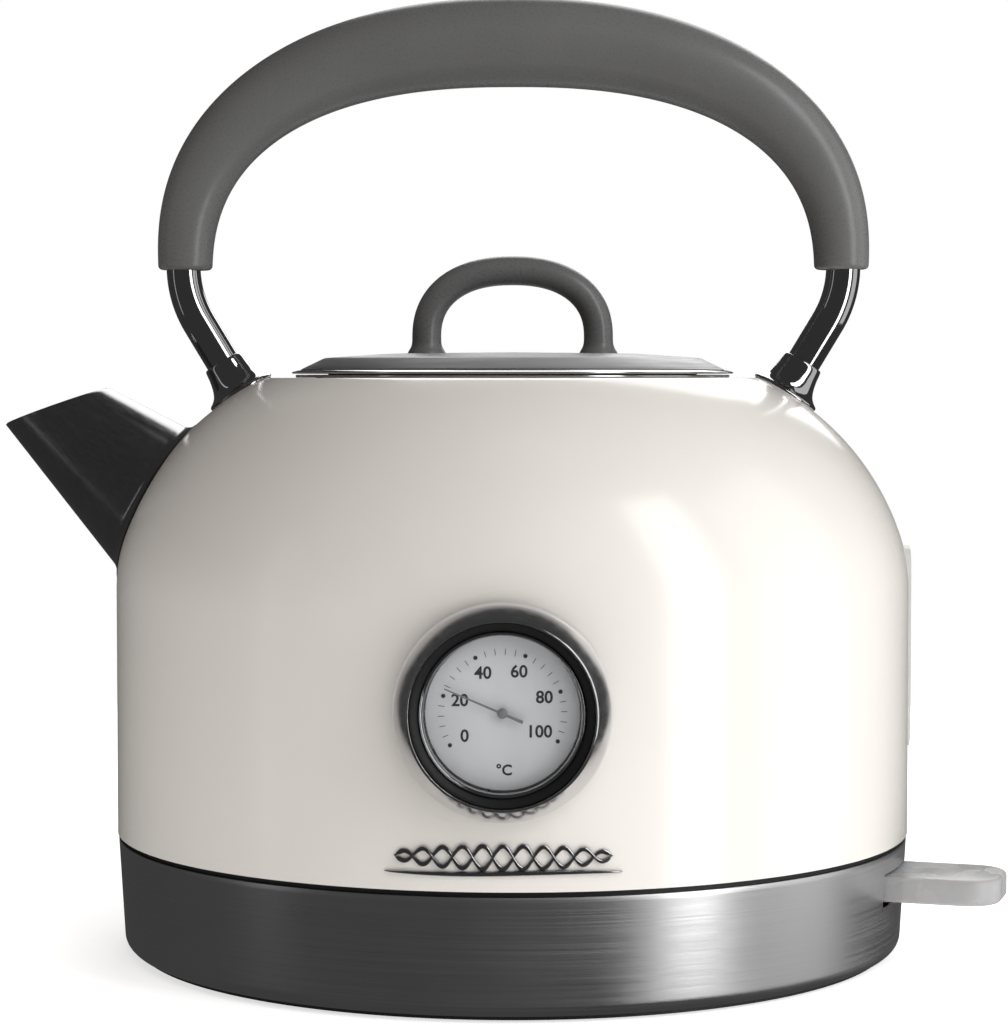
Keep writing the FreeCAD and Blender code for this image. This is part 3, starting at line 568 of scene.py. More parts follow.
class Workshop:
    """Makes pieces from shapes, gives them finishes and puts them on their CAD bodies."""

    def __init__(self) -> None:
        """Makes every finish once."""
        self.materials = {slot: finish.make() for slot, finish in FINISHES.items()}
        self.ink = INK.make()
        self.bezel = BEZEL.make()
        self.flourish = FLOURISH.make()
        self.collection = bpy.context.scene.collection

    def piece(self, name: str, shape: Shape, slot: str, body: str, nodes: tuple[str, ...] = (),
              crease: float = 34.0, material: bpy.types.Material | None = None) -> None:
        """Makes a finished piece from a shape.

        Args:
            name: The piece's name.
            shape: Its surface in millimetres.
            slot: The record's material slot.
            body: The CAD body it rides on.
            nodes: The CAD nodes it stands for.
            crease: Edges sharper than this many degrees stay sharp.
            material: What it is dressed in, if not the slot's own finish.
        """
        made = self.solid(name, shape)
        made.data.materials.append(material or self.materials[slot])
        self.finish(made, slot, body, nodes, crease)

    def dress(self, made: bpy.types.Object, *slots: str) -> None:
        """Puts the finishes of some slots on an object, in place of what it has.

        Args:
            made: The object.
            slots: The record's material slots, in the order of the object's own.
        """
        made.data.materials.clear()
        for slot in slots:
            made.data.materials.append(self.materials[slot])

    def solid(self, name: str, shape: Shape) -> bpy.types.Object:
        """An undressed object from a shape, its doubles merged and its faces turned outwards.

        Args:
            name: The object's name.
            shape: Its surface in millimetres.

        Returns:
            The new object.
        """
        mesh = bpy.data.meshes.new(name)
        mesh.from_pydata(shape.points * MM, [], shape.faces)
        work = bmesh.new()
        work.from_mesh(mesh)
        bmesh.ops.remove_doubles(work, verts=work.verts, dist=MERGE_DISTANCE)
        bmesh.ops.recalc_face_normals(work, faces=work.faces)
        work.to_mesh(mesh)
        work.free()
        made = bpy.data.objects.new(name, mesh)
        self.collection.objects.link(made)
        return made

    def finish(self, made: bpy.types.Object, slot: str, body: str, nodes: tuple[str, ...],
               crease: float = 34.0) -> None:
        """Smooths a piece, puts it on its CAD body and hides the CAD nodes it stands for.

        Args:
            made: The object.
            slot: The record's material slot.
            body: The CAD body it rides on.
            nodes: The CAD nodes it stands for.
            crease: Edges sharper than this many degrees stay sharp.
        """
        made.data.shade_smooth()
        made.data.set_sharp_from_angle(angle=math.radians(crease))
        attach(made, body)
        if nodes:
            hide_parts(*nodes)
        LOG.info("%s: %d faces on %s", made.name, len(made.data.polygons), body)

    def cut(self, made: bpy.types.Object, cutters: list[Shape]) -> None:
        """Takes cutters out of an object and applies the result.

        Args:
            made: The object to cut.
            cutters: Closed shapes to take away.
        """
        for number, shape in enumerate(cutters):
            tool = self.solid(f"cutter_{number}", shape)
            modifier = made.modifiers.new("cut", "BOOLEAN")
            modifier.operation = "DIFFERENCE"
            modifier.solver = "EXACT"
            modifier.object = tool
            bpy.context.view_layer.update()
            graph = bpy.context.evaluated_depsgraph_get()
            mesh = bpy.data.meshes.new_from_object(made.evaluated_get(graph))
            made.modifiers.clear()
            made.data = mesh
            bpy.data.objects.remove(tool)

    def dress_nodes(self) -> None:
        """Gives every CAD node that stays in view the finish of its slot."""
        for part in frame["record"]["subparts"]:
            node = frame["nodes"][part["node"]]
            if not node.hide_render:
                self.dress(node, part["material_slot"])
                LOG.info("%s keeps its CAD mesh in %s", part["node"], part["material_slot"])


# ---- Body, base and spout ----


@dataclass
class Vessel:
    """Enamelled wall: a straight side, a shoulder arc, a crown arc and a flat ledge with a collar."""

    radius: float = 95.0
    wall: float = 0.8
    bottom: float = 28.2
    shoulder_z: float = 86.0
    shoulder_arc: float = 40.7
    shoulder_angle: float = 18.8
    crown_arc: float = 62.9
    crown_angle: float = 65.8
    neck_radius: float = 48.0
    neck_depth: float = 5.2
    spout_hole: float = 14.0
    window_z: tuple[float, float] = (49.5, 93.8)
    window_width: float = 10.0

    def shoulder_centre(self) -> tuple[float, float]:
        """Centre of the shoulder arc, (radius, height)."""
        return self.radius - self.shoulder_arc, self.shoulder_z

    def crown_centre(self) -> tuple[float, float]:
        """Centre of the crown arc: the shoulder's, moved back along the shared normal.

        Returns:
            (radius, height).
        """
        a = math.radians(self.shoulder_angle)
        step = self.shoulder_arc - self.crown_arc
        r, z = self.shoulder_centre()
        return r + step * math.cos(a), z + step * math.sin(a)

    def line(self, offset: float) -> np.ndarray:
        """Outline of the wall from its bottom edge to the end of the crown.

        Args:
            offset: How far it is pushed outwards.

        Returns:
            (radius, height) points.
        """
        side = np.linspace((self.radius + offset, self.bottom), (self.radius + offset, self.shoulder_z), 25)
        shoulder = arc(self.shoulder_centre(), self.shoulder_arc + offset, 0, self.shoulder_angle, 12)
        crown = arc(self.crown_centre(), self.crown_arc + offset, self.shoulder_angle, self.crown_angle, 40)
        return np.vstack([side[:-1], shoulder[:-1], crown])

    def ledge_z(self) -> float:
        """Height of the flat ledge round the neck."""
        return float(self.line(0.0)[-1, 1])

    def crown_point(self, angle: float) -> tuple[float, float]:
        """(radius, height) on the crown where its normal stands at an angle to the horizontal."""
        r, z = arc(self.crown_centre(), self.crown_arc, angle, angle, 1)[0]
        return float(r), float(z)

    def gap(self, points: np.ndarray) -> np.ndarray:
        """Distance outside the wall.

        On the side it is r minus R, and on an arc the distance to its centre minus its radius.

        Args:
            points: Points as any shape ending in 3.

        Returns:
            The distance of each, negative inside.
        """
        r, z = np.hypot(points[..., 0], points[..., 1]), points[..., 2]
        shoulder, crown = self.shoulder_centre(), self.crown_centre()
        on_shoulder = np.hypot(r - shoulder[0], z - shoulder[1]) - self.shoulder_arc
        on_crown = np.hypot(r - crown[0], z - crown[1]) - self.crown_arc
        steep = np.arctan2(z - crown[1], r - crown[0]) > math.radians(self.shoulder_angle)
        return np.where(z < self.shoulder_z, r - self.radius, np.where(steep, on_crown, on_shoulder))

    def window_cutter(self) -> Shape:
        """Slot for the water window, on the +X side.

        Returns:
            A closed shape to cut with.
        """
        low, high = self.window_z
        r = self.window_width / 2
        ends = np.vstack([arc((0, high - r), r, 0, 180, 17), arc((0, low + r), r, 180, 360, 17)])
        plate = slab(ends, 80.0, 105.0, 0.01)
        return Shape(plate.points[:, [2, 0, 1]], plate.faces)

    def build(self, shop: Workshop, spout: "Spout") -> None:
        """Makes the shell, enamel outside and bare steel inside, and the polished neck ring.

        Args:
            shop: The workshop.
            spout: Gives the axis of the hole behind it.
        """
        ledge = self.ledge_z()
        collar = self.neck_radius - self.wall
        foot = ledge - self.neck_depth
        inner = self.line(-self.wall)
        neck = np.array([(collar + 0.9, ledge), (collar + 0.25, ledge - 0.2), (collar, ledge - 0.9),
                         (collar, foot), (self.neck_radius, foot), (self.neck_radius, inner[-1, 1])])
        profile = np.vstack([self.line(0.0), neck, inner[::-1]])
        shell = shop.solid("enamel_shell", lathe(profile, steps=256))
        hole = np.array([(self.spout_hole, 60.0), (self.spout_hole, 110.0)])
        cutter = lathe(hole, closed=False, steps=96).placed(spout.frame(), spout.apex())
        shop.cut(shell, [cutter, self.window_cutter()])
        shop.dress(shell, "enamel", "inner_steel")
        centres = np.empty(len(shell.data.polygons) * 3)
        shell.data.polygons.foreach_get("center", centres)
        centres = centres.reshape(-1, 3) / MM
        # Enamel wraps over the ledge's edge, and everything else inside the wall is bare
        on_ledge = (centres[:, 2] > ledge - 1.0) & (np.hypot(centres[:, 0], centres[:, 1]) > collar)
        bare = (self.gap(centres) < -0.3) & ~on_ledge
        shell.data.polygons.foreach_set("material_index", bare.astype(np.int32))
        shop.finish(shell, "enamel", "kettle", ("body_shell",), 40.0)
        ring = np.array([
            (46.3, foot), (collar - 0.05, foot), (collar - 0.05, ledge + 0.05), (52.2, ledge + 0.05),
            (52.2, ledge + 0.75), (46.3, ledge + 0.75),
        ])
        shop.piece("neck_liner", lathe(eased(ring, 0.3)), "polished_steel", "kettle", ("neck_ring",))


@dataclass
class Skirt:
    """Brushed steel skirt round the base, rolled in at its foot, with the lever's slot."""

    top: float = 27.0
    top_radius: float = 94.75
    foot_radius: float = 93.4
    wall: float = 1.0
    slot_width: float = 25.6
    slot_z: tuple[float, float] = (14.2, 22.6)
    azimuth: float = -16.5

    def build(self, shop: Workshop) -> None:
        """Makes the skirt and cuts the lever's slot in it.

        Args:
            shop: The workshop.
        """
        roll = arc((self.foot_radius - 3.2, 4.0), 3.2, -75, 0, 9)
        low = roll[0] + (-0.3, self.wall)
        levels = np.linspace(4.0, self.top - 0.3, 24)[1:]
        lean = (self.top_radius - self.foot_radius) * (levels - 4.0) / (self.top - 4.0)
        side = np.stack([self.foot_radius + lean, levels], -1)
        rim = np.array([(self.top_radius - 0.12, self.top - 0.05), (self.top_radius - 0.4, self.top)])
        inner = np.array([(self.top_radius - self.wall, self.top - 0.2),
                          (self.foot_radius - self.wall, 4.6), low])
        skirt = shop.solid("steel_skirt", lathe(np.vstack([roll, side, rim, inner]), steps=256))
        half, (z_low, z_high) = self.slot_width / 2, self.slot_z
        corners = np.array([(85.0, -half), (110.0, -half), (110.0, half), (85.0, half)])
        shop.cut(skirt, [slab(corners, z_low, z_high, 0.01).placed(turned(self.azimuth))])
        shop.dress(skirt, "brushed_steel")
        shop.finish(skirt, "brushed_steel", "kettle", ("base_band",), 40.0)


@dataclass
class Spout:
    """Pouring cone: a cut mouth, a thin wall and a flare that sits on the body."""

    tilt: float = 39.55
    half_angle: float = 12.35
    mouth_tilt: float = 19.5
    wall: float = 0.8
    flare: float = 1.3
    apex_at: tuple[float, float, float] = (-151.2, 0.0, 161.2)
    tip_at: tuple[float, float, float] = (-122.7, 0.0, 124.8)

    def apex(self) -> np.ndarray:
        """The cone's point, outside the mouth."""
        return np.array(self.apex_at)

    def frame(self) -> np.ndarray:
        """Axes of the cone as rows: across upwards, across sideways, and down the axis into the body."""
        a = math.radians(self.tilt)
        return np.array([(math.sin(a), 0, math.cos(a)), (0, 1, 0), (math.cos(a), 0, -math.sin(a))])

    def line(self, extra: np.ndarray, run: np.ndarray, steps: int) -> np.ndarray:
        """Points apex + s d + (s k + extra) w, with w round the axis d and k the cone's slope.

        Args:
            extra: Radius added, broadcast against run.
            run: Distance s for each row and column.
            steps: Columns round the cone.

        Returns:
            Points as rows by columns by 3.
        """
        b = TAU * np.arange(steps) / steps
        up, side, down = self.frame()
        w = np.cos(b)[:, None] * up + np.sin(b)[:, None] * side
        slope = math.tan(math.radians(self.half_angle))
        return self.apex() + run[..., None] * down + (run * slope + extra)[..., None] * w

    def mouth_run(self, extra: float, steps: int) -> np.ndarray:
        """Distance down the axis at which the wall meets the mouth's plane.

        Height over the plane is linear in the distance, so two samples of it give the root.

        Args:
            extra: Radius added to the cone.
            steps: Columns round it.

        Returns:
            The distance for each column.
        """
        a = math.radians(self.mouth_tilt)
        normal = np.array([-math.sin(a), 0.0, math.cos(a)])
        zero, one = [self.line(np.float64(extra), np.full(steps, s), steps) for s in (0.0, 1.0)]
        height = (zero - self.tip_at) @ normal
        return -height / ((one - zero) @ normal)

    def wall_run(self, vessel: Vessel, extra: float, steps: int, gap: float) -> np.ndarray:
        """Distance down the axis at which the wall meets the body, found by halving.

        Args:
            vessel: The body.
            extra: Radius added to the cone.
            steps: Columns round it.
            gap: Clearance left outside the body.

        Returns:
            The distance for each column.
        """
        low, high = np.full(steps, 40.0), np.full(steps, 112.0)
        for _ in range(30):
            middle = (low + high) / 2
            outside = vessel.gap(self.line(np.float64(extra), middle, steps)) > gap
            low, high = np.where(outside, middle, low), np.where(outside, high, middle)
        return low

    def build(self, shop: Workshop, vessel: Vessel, steps: int = 144) -> None:
        """Makes the spout.

        Args:
            shop: The workshop.
            vessel: The wall it stands on.
            steps: Columns round the cone.
        """
        mouth, seat = self.mouth_run(0.0, steps), self.wall_run(vessel, 0.0, steps, 0.3)
        seat_wide = self.wall_run(vessel, self.flare, steps, 0.3)
        mouth_in = self.mouth_run(-self.wall, steps)
        seat_in = self.wall_run(vessel, -self.wall, steps, 0.3)
        v = np.linspace(0.0, 1.0, 40)[:, None]
        outer = self.line(np.zeros((40, steps)), mouth + (seat - 2.0 - mouth) * v, steps)
        q = np.linspace(0.0, 1.0, 8)[1:, None]
        lip = self.line(self.flare * q ** 2 + np.zeros(steps), (seat - 2.0) * (1 - q) + seat_wide * q, steps)
        inner = self.line(np.full((40, steps), -self.wall), seat_in + (mouth_in - seat_in) * v, steps)
        a = math.radians(self.mouth_tilt)
        outward = np.array([-math.sin(a), 0.0, math.cos(a)]) * 0.28
        rim = (outer[0] * 0.5 + inner[-1] * 0.5 + outward)[None]
        grid = np.concatenate([outer, lip, inner, rim])
        shop.piece("pouring_spout", skin(grid, wrap_rows=True), "spout_steel", "kettle", ("spout",), 50.0)


# ---- Thermometer ----


@dataclass
class Thermometer:
    """Dial gauge on the front: a sloping bezel, a black seal, a bright ring, a lens and a printed scale."""

    height: float = 66.4
    body_radius: float = 95.0
    dial_proud: float = 3.0
    ink_depth: float = 0.03
    zero_angle: float = 211.5
    full_angle: float = -27.0
    needle_angle: float = 157.0
    strokes_per_major: int = 5
    majors: tuple[str, ...] = ("0", "20", "40", "60", "80", "100")

    def frame(self) -> np.ndarray:
        """Axes as rows: across to +X, up, and out to the front."""
        return np.array([(1.0, 0, 0), (0, 0, 1.0), (0, -1.0, 0)])

    def origin(self) -> np.ndarray:
        """The gauge's centre on the wall."""
        return np.array([0.0, -self.body_radius, self.height])

    def scribed(self, grid_shape: Shape, below: float) -> Shape:
        """Moves the points under a level back to the round wall: z = sqrt(R^2 - x^2) - R.

        Args:
            grid_shape: A shape about the gauge's own axis.
            below: Points lower than this are moved.

        Returns:
            The scribed shape.
        """
        points = grid_shape.points.copy()
        low = points[:, 2] < below
        wall = np.sqrt(self.body_radius ** 2 - points[:, 0] ** 2) - self.body_radius
        points[low, 2] = wall[low] + 0.1
        return Shape(points, grid_shape.faces)

    def scale_angles(self) -> np.ndarray:
        """Angles of the major divisions, in degrees anticlockwise from +X."""
        return np.linspace(self.zero_angle, self.full_angle, len(self.majors))

    def mark(self, angle: float, near: float, far: float, half: float) -> Shape:
        """A printed stroke along a radius of the dial.

        Args:
            angle: Its direction in degrees.
            near: Distance of its inner end.
            far: Distance of its outer end.
            half: Half of its width.

        Returns:
            The stroke as a closed shape in the gauge's own frame.
        """
        corners = np.array([(near, -half), (far, -half), (far, half), (near, half)])
        return self.print_on(corners @ turned(angle)[:2, :2])

    def print_on(self, outline: np.ndarray) -> Shape:
        """A thin layer of ink of some outline, on the dial."""
        return slab(outline, self.dial_proud, self.dial_proud + self.ink_depth, 0.005)

    def text(self, words: str, size: float, at: tuple[float, float]) -> Shape:
        """Raised print of a number, made a mesh.

        Args:
            words: The characters.
            size: Height of the type in millimetres.
            at: Centre on the dial.

        Returns:
            The print as a closed shape in the gauge's own frame.
        """
        curve = bpy.data.curves.new("type", "FONT")
        curve.body = words
        curve.size = size
        curve.align_x, curve.align_y = "CENTER", "CENTER"
        curve.extrude = 0.012
        curve.offset = 0.085
        curve.resolution_u = 4
        holder = bpy.data.objects.new("type", curve)
        bpy.context.scene.collection.objects.link(holder)
        bpy.context.view_layer.update()
        mesh = bpy.data.meshes.new_from_object(holder.evaluated_get(bpy.context.evaluated_depsgraph_get()))
        points = np.empty(len(mesh.vertices) * 3)
        mesh.vertices.foreach_get("co", points)
        points = points.reshape(-1, 3) + (at[0], at[1], self.dial_proud + 0.012)
        faces = [list(face.vertices) for face in mesh.polygons]
        bpy.data.objects.remove(holder)
        return Shape(points, faces)

    def scale(self) -> Shape:
        """All the print: dots and numbers at the majors, fine strokes between them and the unit.

        Returns:
            The print as closed shapes in the gauge's own frame.
        """
        angles = self.scale_angles()
        print_ = self.text("°C", 3.1, (0.3, -12.0))
        for words, angle in zip(self.majors, angles):
            a = math.radians(angle)
            reach = 9.3 if len(words) < 3 else 8.6
            print_ = print_.plus(self.text(words, 3.6, (reach * math.cos(a), reach * math.sin(a))))
            dot = arc((12.9 * math.cos(a), 12.9 * math.sin(a)), 0.46, 0, 345, 24)
            print_ = print_.plus(self.print_on(dot))
        strokes = self.strokes_per_major
        minors = np.linspace(angles[0], angles[-1], strokes * (len(angles) - 1) + 1)
        for number, angle in enumerate(minors):
            if number % strokes:
                print_ = print_.plus(self.mark(float(angle), 12.2, 13.5, 0.07))
        return print_

    def pointer(self) -> Shape:
        """Needle: a long taper, a short tail and a domed hub, along +X before it is turned.

        Returns:
            The turned needle in the gauge's own frame.
        """
        upper = np.array([(13.2, 0.14), (0.0, 0.28), (-4.6, 0.36)])
        outline = np.vstack([(13.2, -0.14), upper, (upper * (1, -1))[:0:-1]])
        blade = slab(outline, self.dial_proud + 0.9, self.dial_proud + 1.15, 0.04)
        dome = np.array([(0.02, 4.5), (0.55, 4.42), (0.95, 4.2), (1.1, 3.95), (1.1, 3.85), (0.02, 3.8)])
        whole = blade.plus(lathe(dome, closed=False, steps=48))
        return whole.placed(turned(self.needle_angle))

    def build(self, shop: Workshop) -> None:
        """Makes the gauge's visible pieces; every profile is (radius, height over the wall).

        Args:
            shop: The workshop.
        """
        axes, origin = self.frame(), self.origin()
        bezel = np.array([
            (19.4, -4.0), (23.2, -4.0), (23.2, 2.4), (22.9, 3.7), (21.4, 6.5), (20.05, 8.8), (19.85, 9.0),
            (19.5, 9.0), (19.4, 7.8),
        ])
        easing = np.array([0, 0, 0.3, 0.7, 1.2, 0.2, 0.1, 0.1, 0.2])
        ring = self.scribed(lathe(eased(bezel, easing, 5)), -2.0)
        shop.piece("gauge_bezel", ring.placed(axes, origin), "chrome_trim", "kettle", ("thermometer_bezel",),
                   50.0, shop.bezel)
        seal = [(17.45, 3.6), (19.35, 3.6), (19.35, 7.7), (18.7, 7.5), (17.45, 6.6)]
        bright = [(16.45, 3.6), (17.4, 3.6), (17.4, 6.9), (17.0, 7.2), (16.45, 6.6)]
        for name, profile, slot, node in (("gauge_seal_ring", seal, "black_rubber", "lens_seal"),
                                          ("gauge_bright_ring", bright, "chrome_trim", "bezel_inner_ring")):
            ring = lathe(eased(np.array(profile), 0.2))
            shop.piece(name, ring.placed(axes, origin), slot, "kettle", (node,))
        lens = np.array([(0.02, 6.85), (6.0, 6.78), (11.0, 6.58), (15.0, 6.3), (16.2, 6.15), (16.4, 6.0),
                         (16.3, 5.8), (0.02, 5.8)])
        shop.piece("gauge_lens", lathe(eased(lens, 0.3, 4, False), False).placed(axes, origin), "lens_glass",
                   "kettle", ("dial_lens",))
        plate = eased(np.array([(0.7, 2.6), (16.2, 2.6), (16.2, 3.0), (0.7, 3.0)]), 0.06)
        shop.piece("gauge_dial", lathe(plate, steps=128).placed(axes, origin), "dial_silver", "kettle",
                   ("dial_face",))
        shop.piece("gauge_scale", self.scale().placed(axes, origin), "needle_grey", "kettle", (), 30.0,
                   shop.ink)
        shop.piece("gauge_needle", self.pointer().placed(axes, origin), "needle_grey", "needle_body",
                   ("needle",))


# ---- Handle ----


@dataclass
class Handle:
    """Chrome tube on two trumpet feet, under a grey grip that is thickest over the middle."""

    arch_z: float = 163.0
    half_width: float = 79.45
    grip_half_width: float = 79.0
    rise: float = 53.35
    power: float = 2.3
    tube_radius: float = 4.1
    end_radius: float = 6.55
    middle_radius: float = 10.65
    middle_depth: float = 10.2
    grip_rounding: float = 1.1
    foot_tilt: float = 31.0
    foot_socket: float = 4.8

    def foot(self, vessel: Vessel, side: int) -> tuple[np.ndarray, np.ndarray]:
        """Where a foot stands on the crown.

        Args:
            vessel: The wall.
            side: -1 for the spout's side, 1 for the lever's.

        Returns:
            Its base point and outward direction.
        """
        angle = 90.0 - self.foot_tilt
        r, z = vessel.crown_point(angle)
        a = math.radians(angle)
        return np.array([side * r, 0, z]), np.array([side * math.cos(a), 0, math.sin(a)])

    def tube_path(self, vessel: Vessel) -> np.ndarray:
        """Centreline from foot to foot: straight, an arc off the foot's axis, the arch, and back.

        Args:
            vessel: The wall the feet stand on.

        Returns:
            Points as n by 3, evenly spaced.
        """
        base, out = self.foot(vessel, -1)
        tilt = math.radians(self.foot_tilt)
        drop, side = self.arch_z - base[2], self.half_width + base[0]
        bend = (drop - side / math.tan(tilt)) / (math.sin(tilt) - (1 - math.cos(tilt)) / math.tan(tilt))
        leg = arc((bend - self.half_width, self.arch_z), bend, 180 + self.foot_tilt, 180, 24)
        start = base + out * self.foot_socket
        left = np.vstack([start[[0, 2]], leg])
        arch = superellipse(self.half_width, self.rise, self.arch_z, self.power, 160)[1:-1][:, [0, 2]]
        right = left[::-1] * (-1, 1)
        line = np.vstack([left, arch, right])
        run = np.concatenate([[0.0], np.cumsum(np.linalg.norm(np.diff(line, axis=0), axis=1))])
        even = np.linspace(0.0, run[-1], 260)
        x, z = np.interp(even, run, line[:, 0]), np.interp(even, run, line[:, 1])
        return np.stack([x, 0 * x, z], -1)

    def build(self, shop: Workshop, vessel: Vessel) -> None:
        """Makes the tube, the grip and the feet.

        Args:
            shop: The workshop.
            vessel: The wall the feet stand on.
        """
        path = self.tube_path(vessel)
        radius = np.full(len(path), self.tube_radius)
        tube = bar(path, radius, radius, 0.3, 48)
        shop.piece("handle_chrome_tube", tube, "chrome_trim", "kettle", ("handle_tube",), 50.0)
        arch = superellipse(self.grip_half_width, self.rise, self.arch_z + 0.3, self.power, 150)
        swell = np.sin(np.linspace(0, math.pi, len(arch))) ** 1.15
        in_plane = self.end_radius + (self.middle_radius - self.end_radius) * swell
        depth = self.end_radius + (self.middle_depth - self.end_radius) * swell
        grip = bar(arch, in_plane, depth, self.grip_rounding, 64)
        shop.piece("handle_soft_grip", grip, "grip_grey", "kettle", ("handle_grip",), 60.0)
        outline = np.array([
            (0.02, -0.35), (8.0, -0.55), (8.4, -0.2), (8.3, 0.45), (7.3, 1.05), (6.35, 2.0), (5.65, 3.6),
            (5.15, 5.8), (4.9, 8.2), (4.6, 8.6), (4.15, 8.5), (4.12, 4.7), (0.02, 4.7),
        ])
        profile = eased(outline, 0.9, 5, False)
        feet = None
        for side in (-1, 1):
            base, out = self.foot(vessel, side)
            across = np.array([out[2], 0, -out[0]])
            axes = np.array([across, np.cross(out, across), out])
            foot = lathe(profile, closed=False, steps=72).placed(axes, base)
            feet = foot if feet is None else feet.plus(foot)
        shop.piece("handle_trumpet_feet", feet, "chrome_trim", "kettle", ("handle_feet",), 50.0)


# ---- Lid ----


@dataclass
class Lid:
    """Satin cover with a sloping edge, a dark polished rim, a moulded plug and a loop knob."""

    top_z: float = 142.4
    knob_half_width: float = 20.7
    knob_rise: float = 16.0
    knob_base: float = 146.0
    knob_radius: float = 3.5
    knob_foot: float = 141.7

    def build(self, shop: Workshop) -> None:
        """Makes the lid's visible pieces; every profile is (radius, height).

        Args:
            shop: The workshop.
        """
        cover = np.array([
            (0.02, self.top_z - 0.9), (30, self.top_z - 1.3), (44.8, 140.1), (50.3, 137.6), (51.2, 138.1),
            (45.2, 141.0), (30, self.top_z - 0.4), (0.02, self.top_z),
        ])
        shop.piece("lid_satin_cover", lathe(eased(cover, 0.7, 5, False), False, 256), "lid_grey", "lid",
                   ("lid_cover",), 40.0)
        rim = np.array([(50.2, 137.2), (53.0, 137.2), (53.1, 137.6), (51.3, 138.05), (50.4, 137.55)])
        shop.piece("lid_polished_rim", lathe(eased(rim, 0.18), steps=256), "polished_steel", "lid",
                   ("lid_trim_ring",))
        plug = np.array([
            (0.02, 135.6), (42.3, 135.6), (42.3, 127.0), (44.3, 127.0), (44.3, 137.2), (50.1, 137.2),
            (50.1, 137.5), (44.6, 139.9), (44.0, 139.3), (44.0, 137.4), (0.02, 137.4),
        ])
        shop.piece("lid_moulded_plug", lathe(eased(plug, 0.4, 4, False), False), "plug_plastic", "lid",
                   ("lid_plug",))
        arch = superellipse(self.knob_half_width, self.knob_rise, self.knob_base, 2.3, 90)
        legs = np.linspace(self.knob_foot, self.knob_base, 14)[:-1]
        left = np.stack([np.full(len(legs), -self.knob_half_width), 0 * legs, legs], -1)
        path = np.vstack([left, arch, (left * (-1, 1, 1))[::-1]])
        # The loop swells by exp(-(h / 1.7)^2) where it meets the cover
        above = path[:, 2] - self.knob_foot
        radius = self.knob_radius + 1.2 * np.exp(-(above / 1.7) ** 2)
        knob = bar(path, radius, radius + 0.5, 0.2, 48)
        shop.piece("lid_loop_knob", knob, "grip_grey", "lid", ("lid_knob",), 60.0)


# ---- Lever and trim ----


@dataclass
class Lever:
    """Switch paddle of milky plastic with rounded corners, and its inner arm."""

    azimuth: float = -16.5
    reach: float = 118.9
    width: float = 24.0
    low: float = 16.0
    high: float = 22.0
    corner: float = 8.0

    def build(self, shop: Workshop) -> None:
        """Makes the paddle and its arm, narrow inside the slot.

        Args:
            shop: The workshop.
        """
        half = self.width / 2
        ends = np.vstack([
            arc((self.reach - self.corner, self.corner - half), self.corner, -90, 0, 14),
            arc((self.reach - self.corner, half - self.corner), self.corner, 0, 90, 14),
        ])
        inner = np.array([(83.7, half), (83.7, 4.0), (73.7, 4.0), (73.7, -4.0), (83.7, -4.0), (83.7, -half)])
        paddle = slab(np.vstack([ends, inner]), self.low, self.high, 1.1).placed(turned(self.azimuth))
        shop.piece("lever_paddle", paddle, "lever_plastic", "lever", ("switch_lever",), 50.0)


@dataclass
class Scrollwork:
    """Plain steel flourish on the front: two crossing waves over a tapered line."""

    height: float = 35.0
    body_radius: float = 95.0
    length: float = 51.0
    proud: float = 0.85

    def ribbon(self, u: np.ndarray, v: np.ndarray, half: np.ndarray, lift: np.ndarray) -> Shape:
        """Ridge along a line drawn on the wall.

        A section runs from one edge over a rounded top to the other; distance u round the wall and height h
        over it give x = (R + h) sin(u / R), y = -(R + h) cos(u / R).

        Args:
            u: Distance round the wall of each point.
            v: Height of each point.
            half: Half width of the ridge there.
            lift: Height added to the top there.

        Returns:
            The closed ridge.
        """
        line = np.stack([u, v], -1)
        tangent = np.gradient(line, axis=0)
        tangent /= np.maximum(np.linalg.norm(tangent, axis=1, keepdims=True), 1e-9)
        normal = np.stack([-tangent[:, 1], tangent[:, 0]], -1)
        b = np.linspace(0.0, math.pi, 9)
        spread, top = np.cos(b), np.sin(b) ** 0.7
        flat = line[:, None] + normal[:, None] * (half[:, None] * spread)[..., None]
        h = 0.03 + (self.proud + lift[:, None]) * top * np.minimum(1.0, half[:, None] / 0.3)
        r = self.body_radius + h
        turn = flat[..., 0] / self.body_radius
        grid = np.stack([r * np.sin(turn), -r * np.cos(turn), self.height + flat[..., 1]], -1)
        return skin(grid, caps=True)

    def build(self, shop: Workshop) -> None:
        """Makes the flourish: waves swing = A sqrt(1 - t^2) cos(phase) and its mirror, t from -1 to 1.

        Args:
            shop: The workshop.
        """
        t = np.linspace(-1.0, 1.0, 420)
        phase = t * math.pi * 5.5
        swing = 2.4 * np.sqrt(np.clip(1.0 - t ** 2, 0.0, 1.0)) * np.cos(phase)
        half = (0.34 + 0.24 * np.abs(np.cos(phase))) * np.clip((1.0 - t ** 2) * 9.0, 0.06, 1.0)
        run = t * self.length * 0.46
        over = self.ribbon(run, 0.65 + swing, half, 0.05 * np.sin(phase))
        behind = self.ribbon(run, 0.65 - swing, half, -0.25 + 0.05 * np.cos(phase))
        loops = over.plus(behind)
        s = np.linspace(-1.0, 1.0, 160)
        under = self.ribbon(s * self.length / 2, -2.75 + 0.2 * np.sin(s * math.pi),
                            0.06 + 0.55 * np.sqrt(np.clip(1 - s ** 2, 0, 1)), 0 * s)
        shop.piece("front_flourish", loops.plus(under), "chrome_trim", "kettle", ("trim_ornament",), 60.0,
                   shop.flourish)


# ---- Studio ----


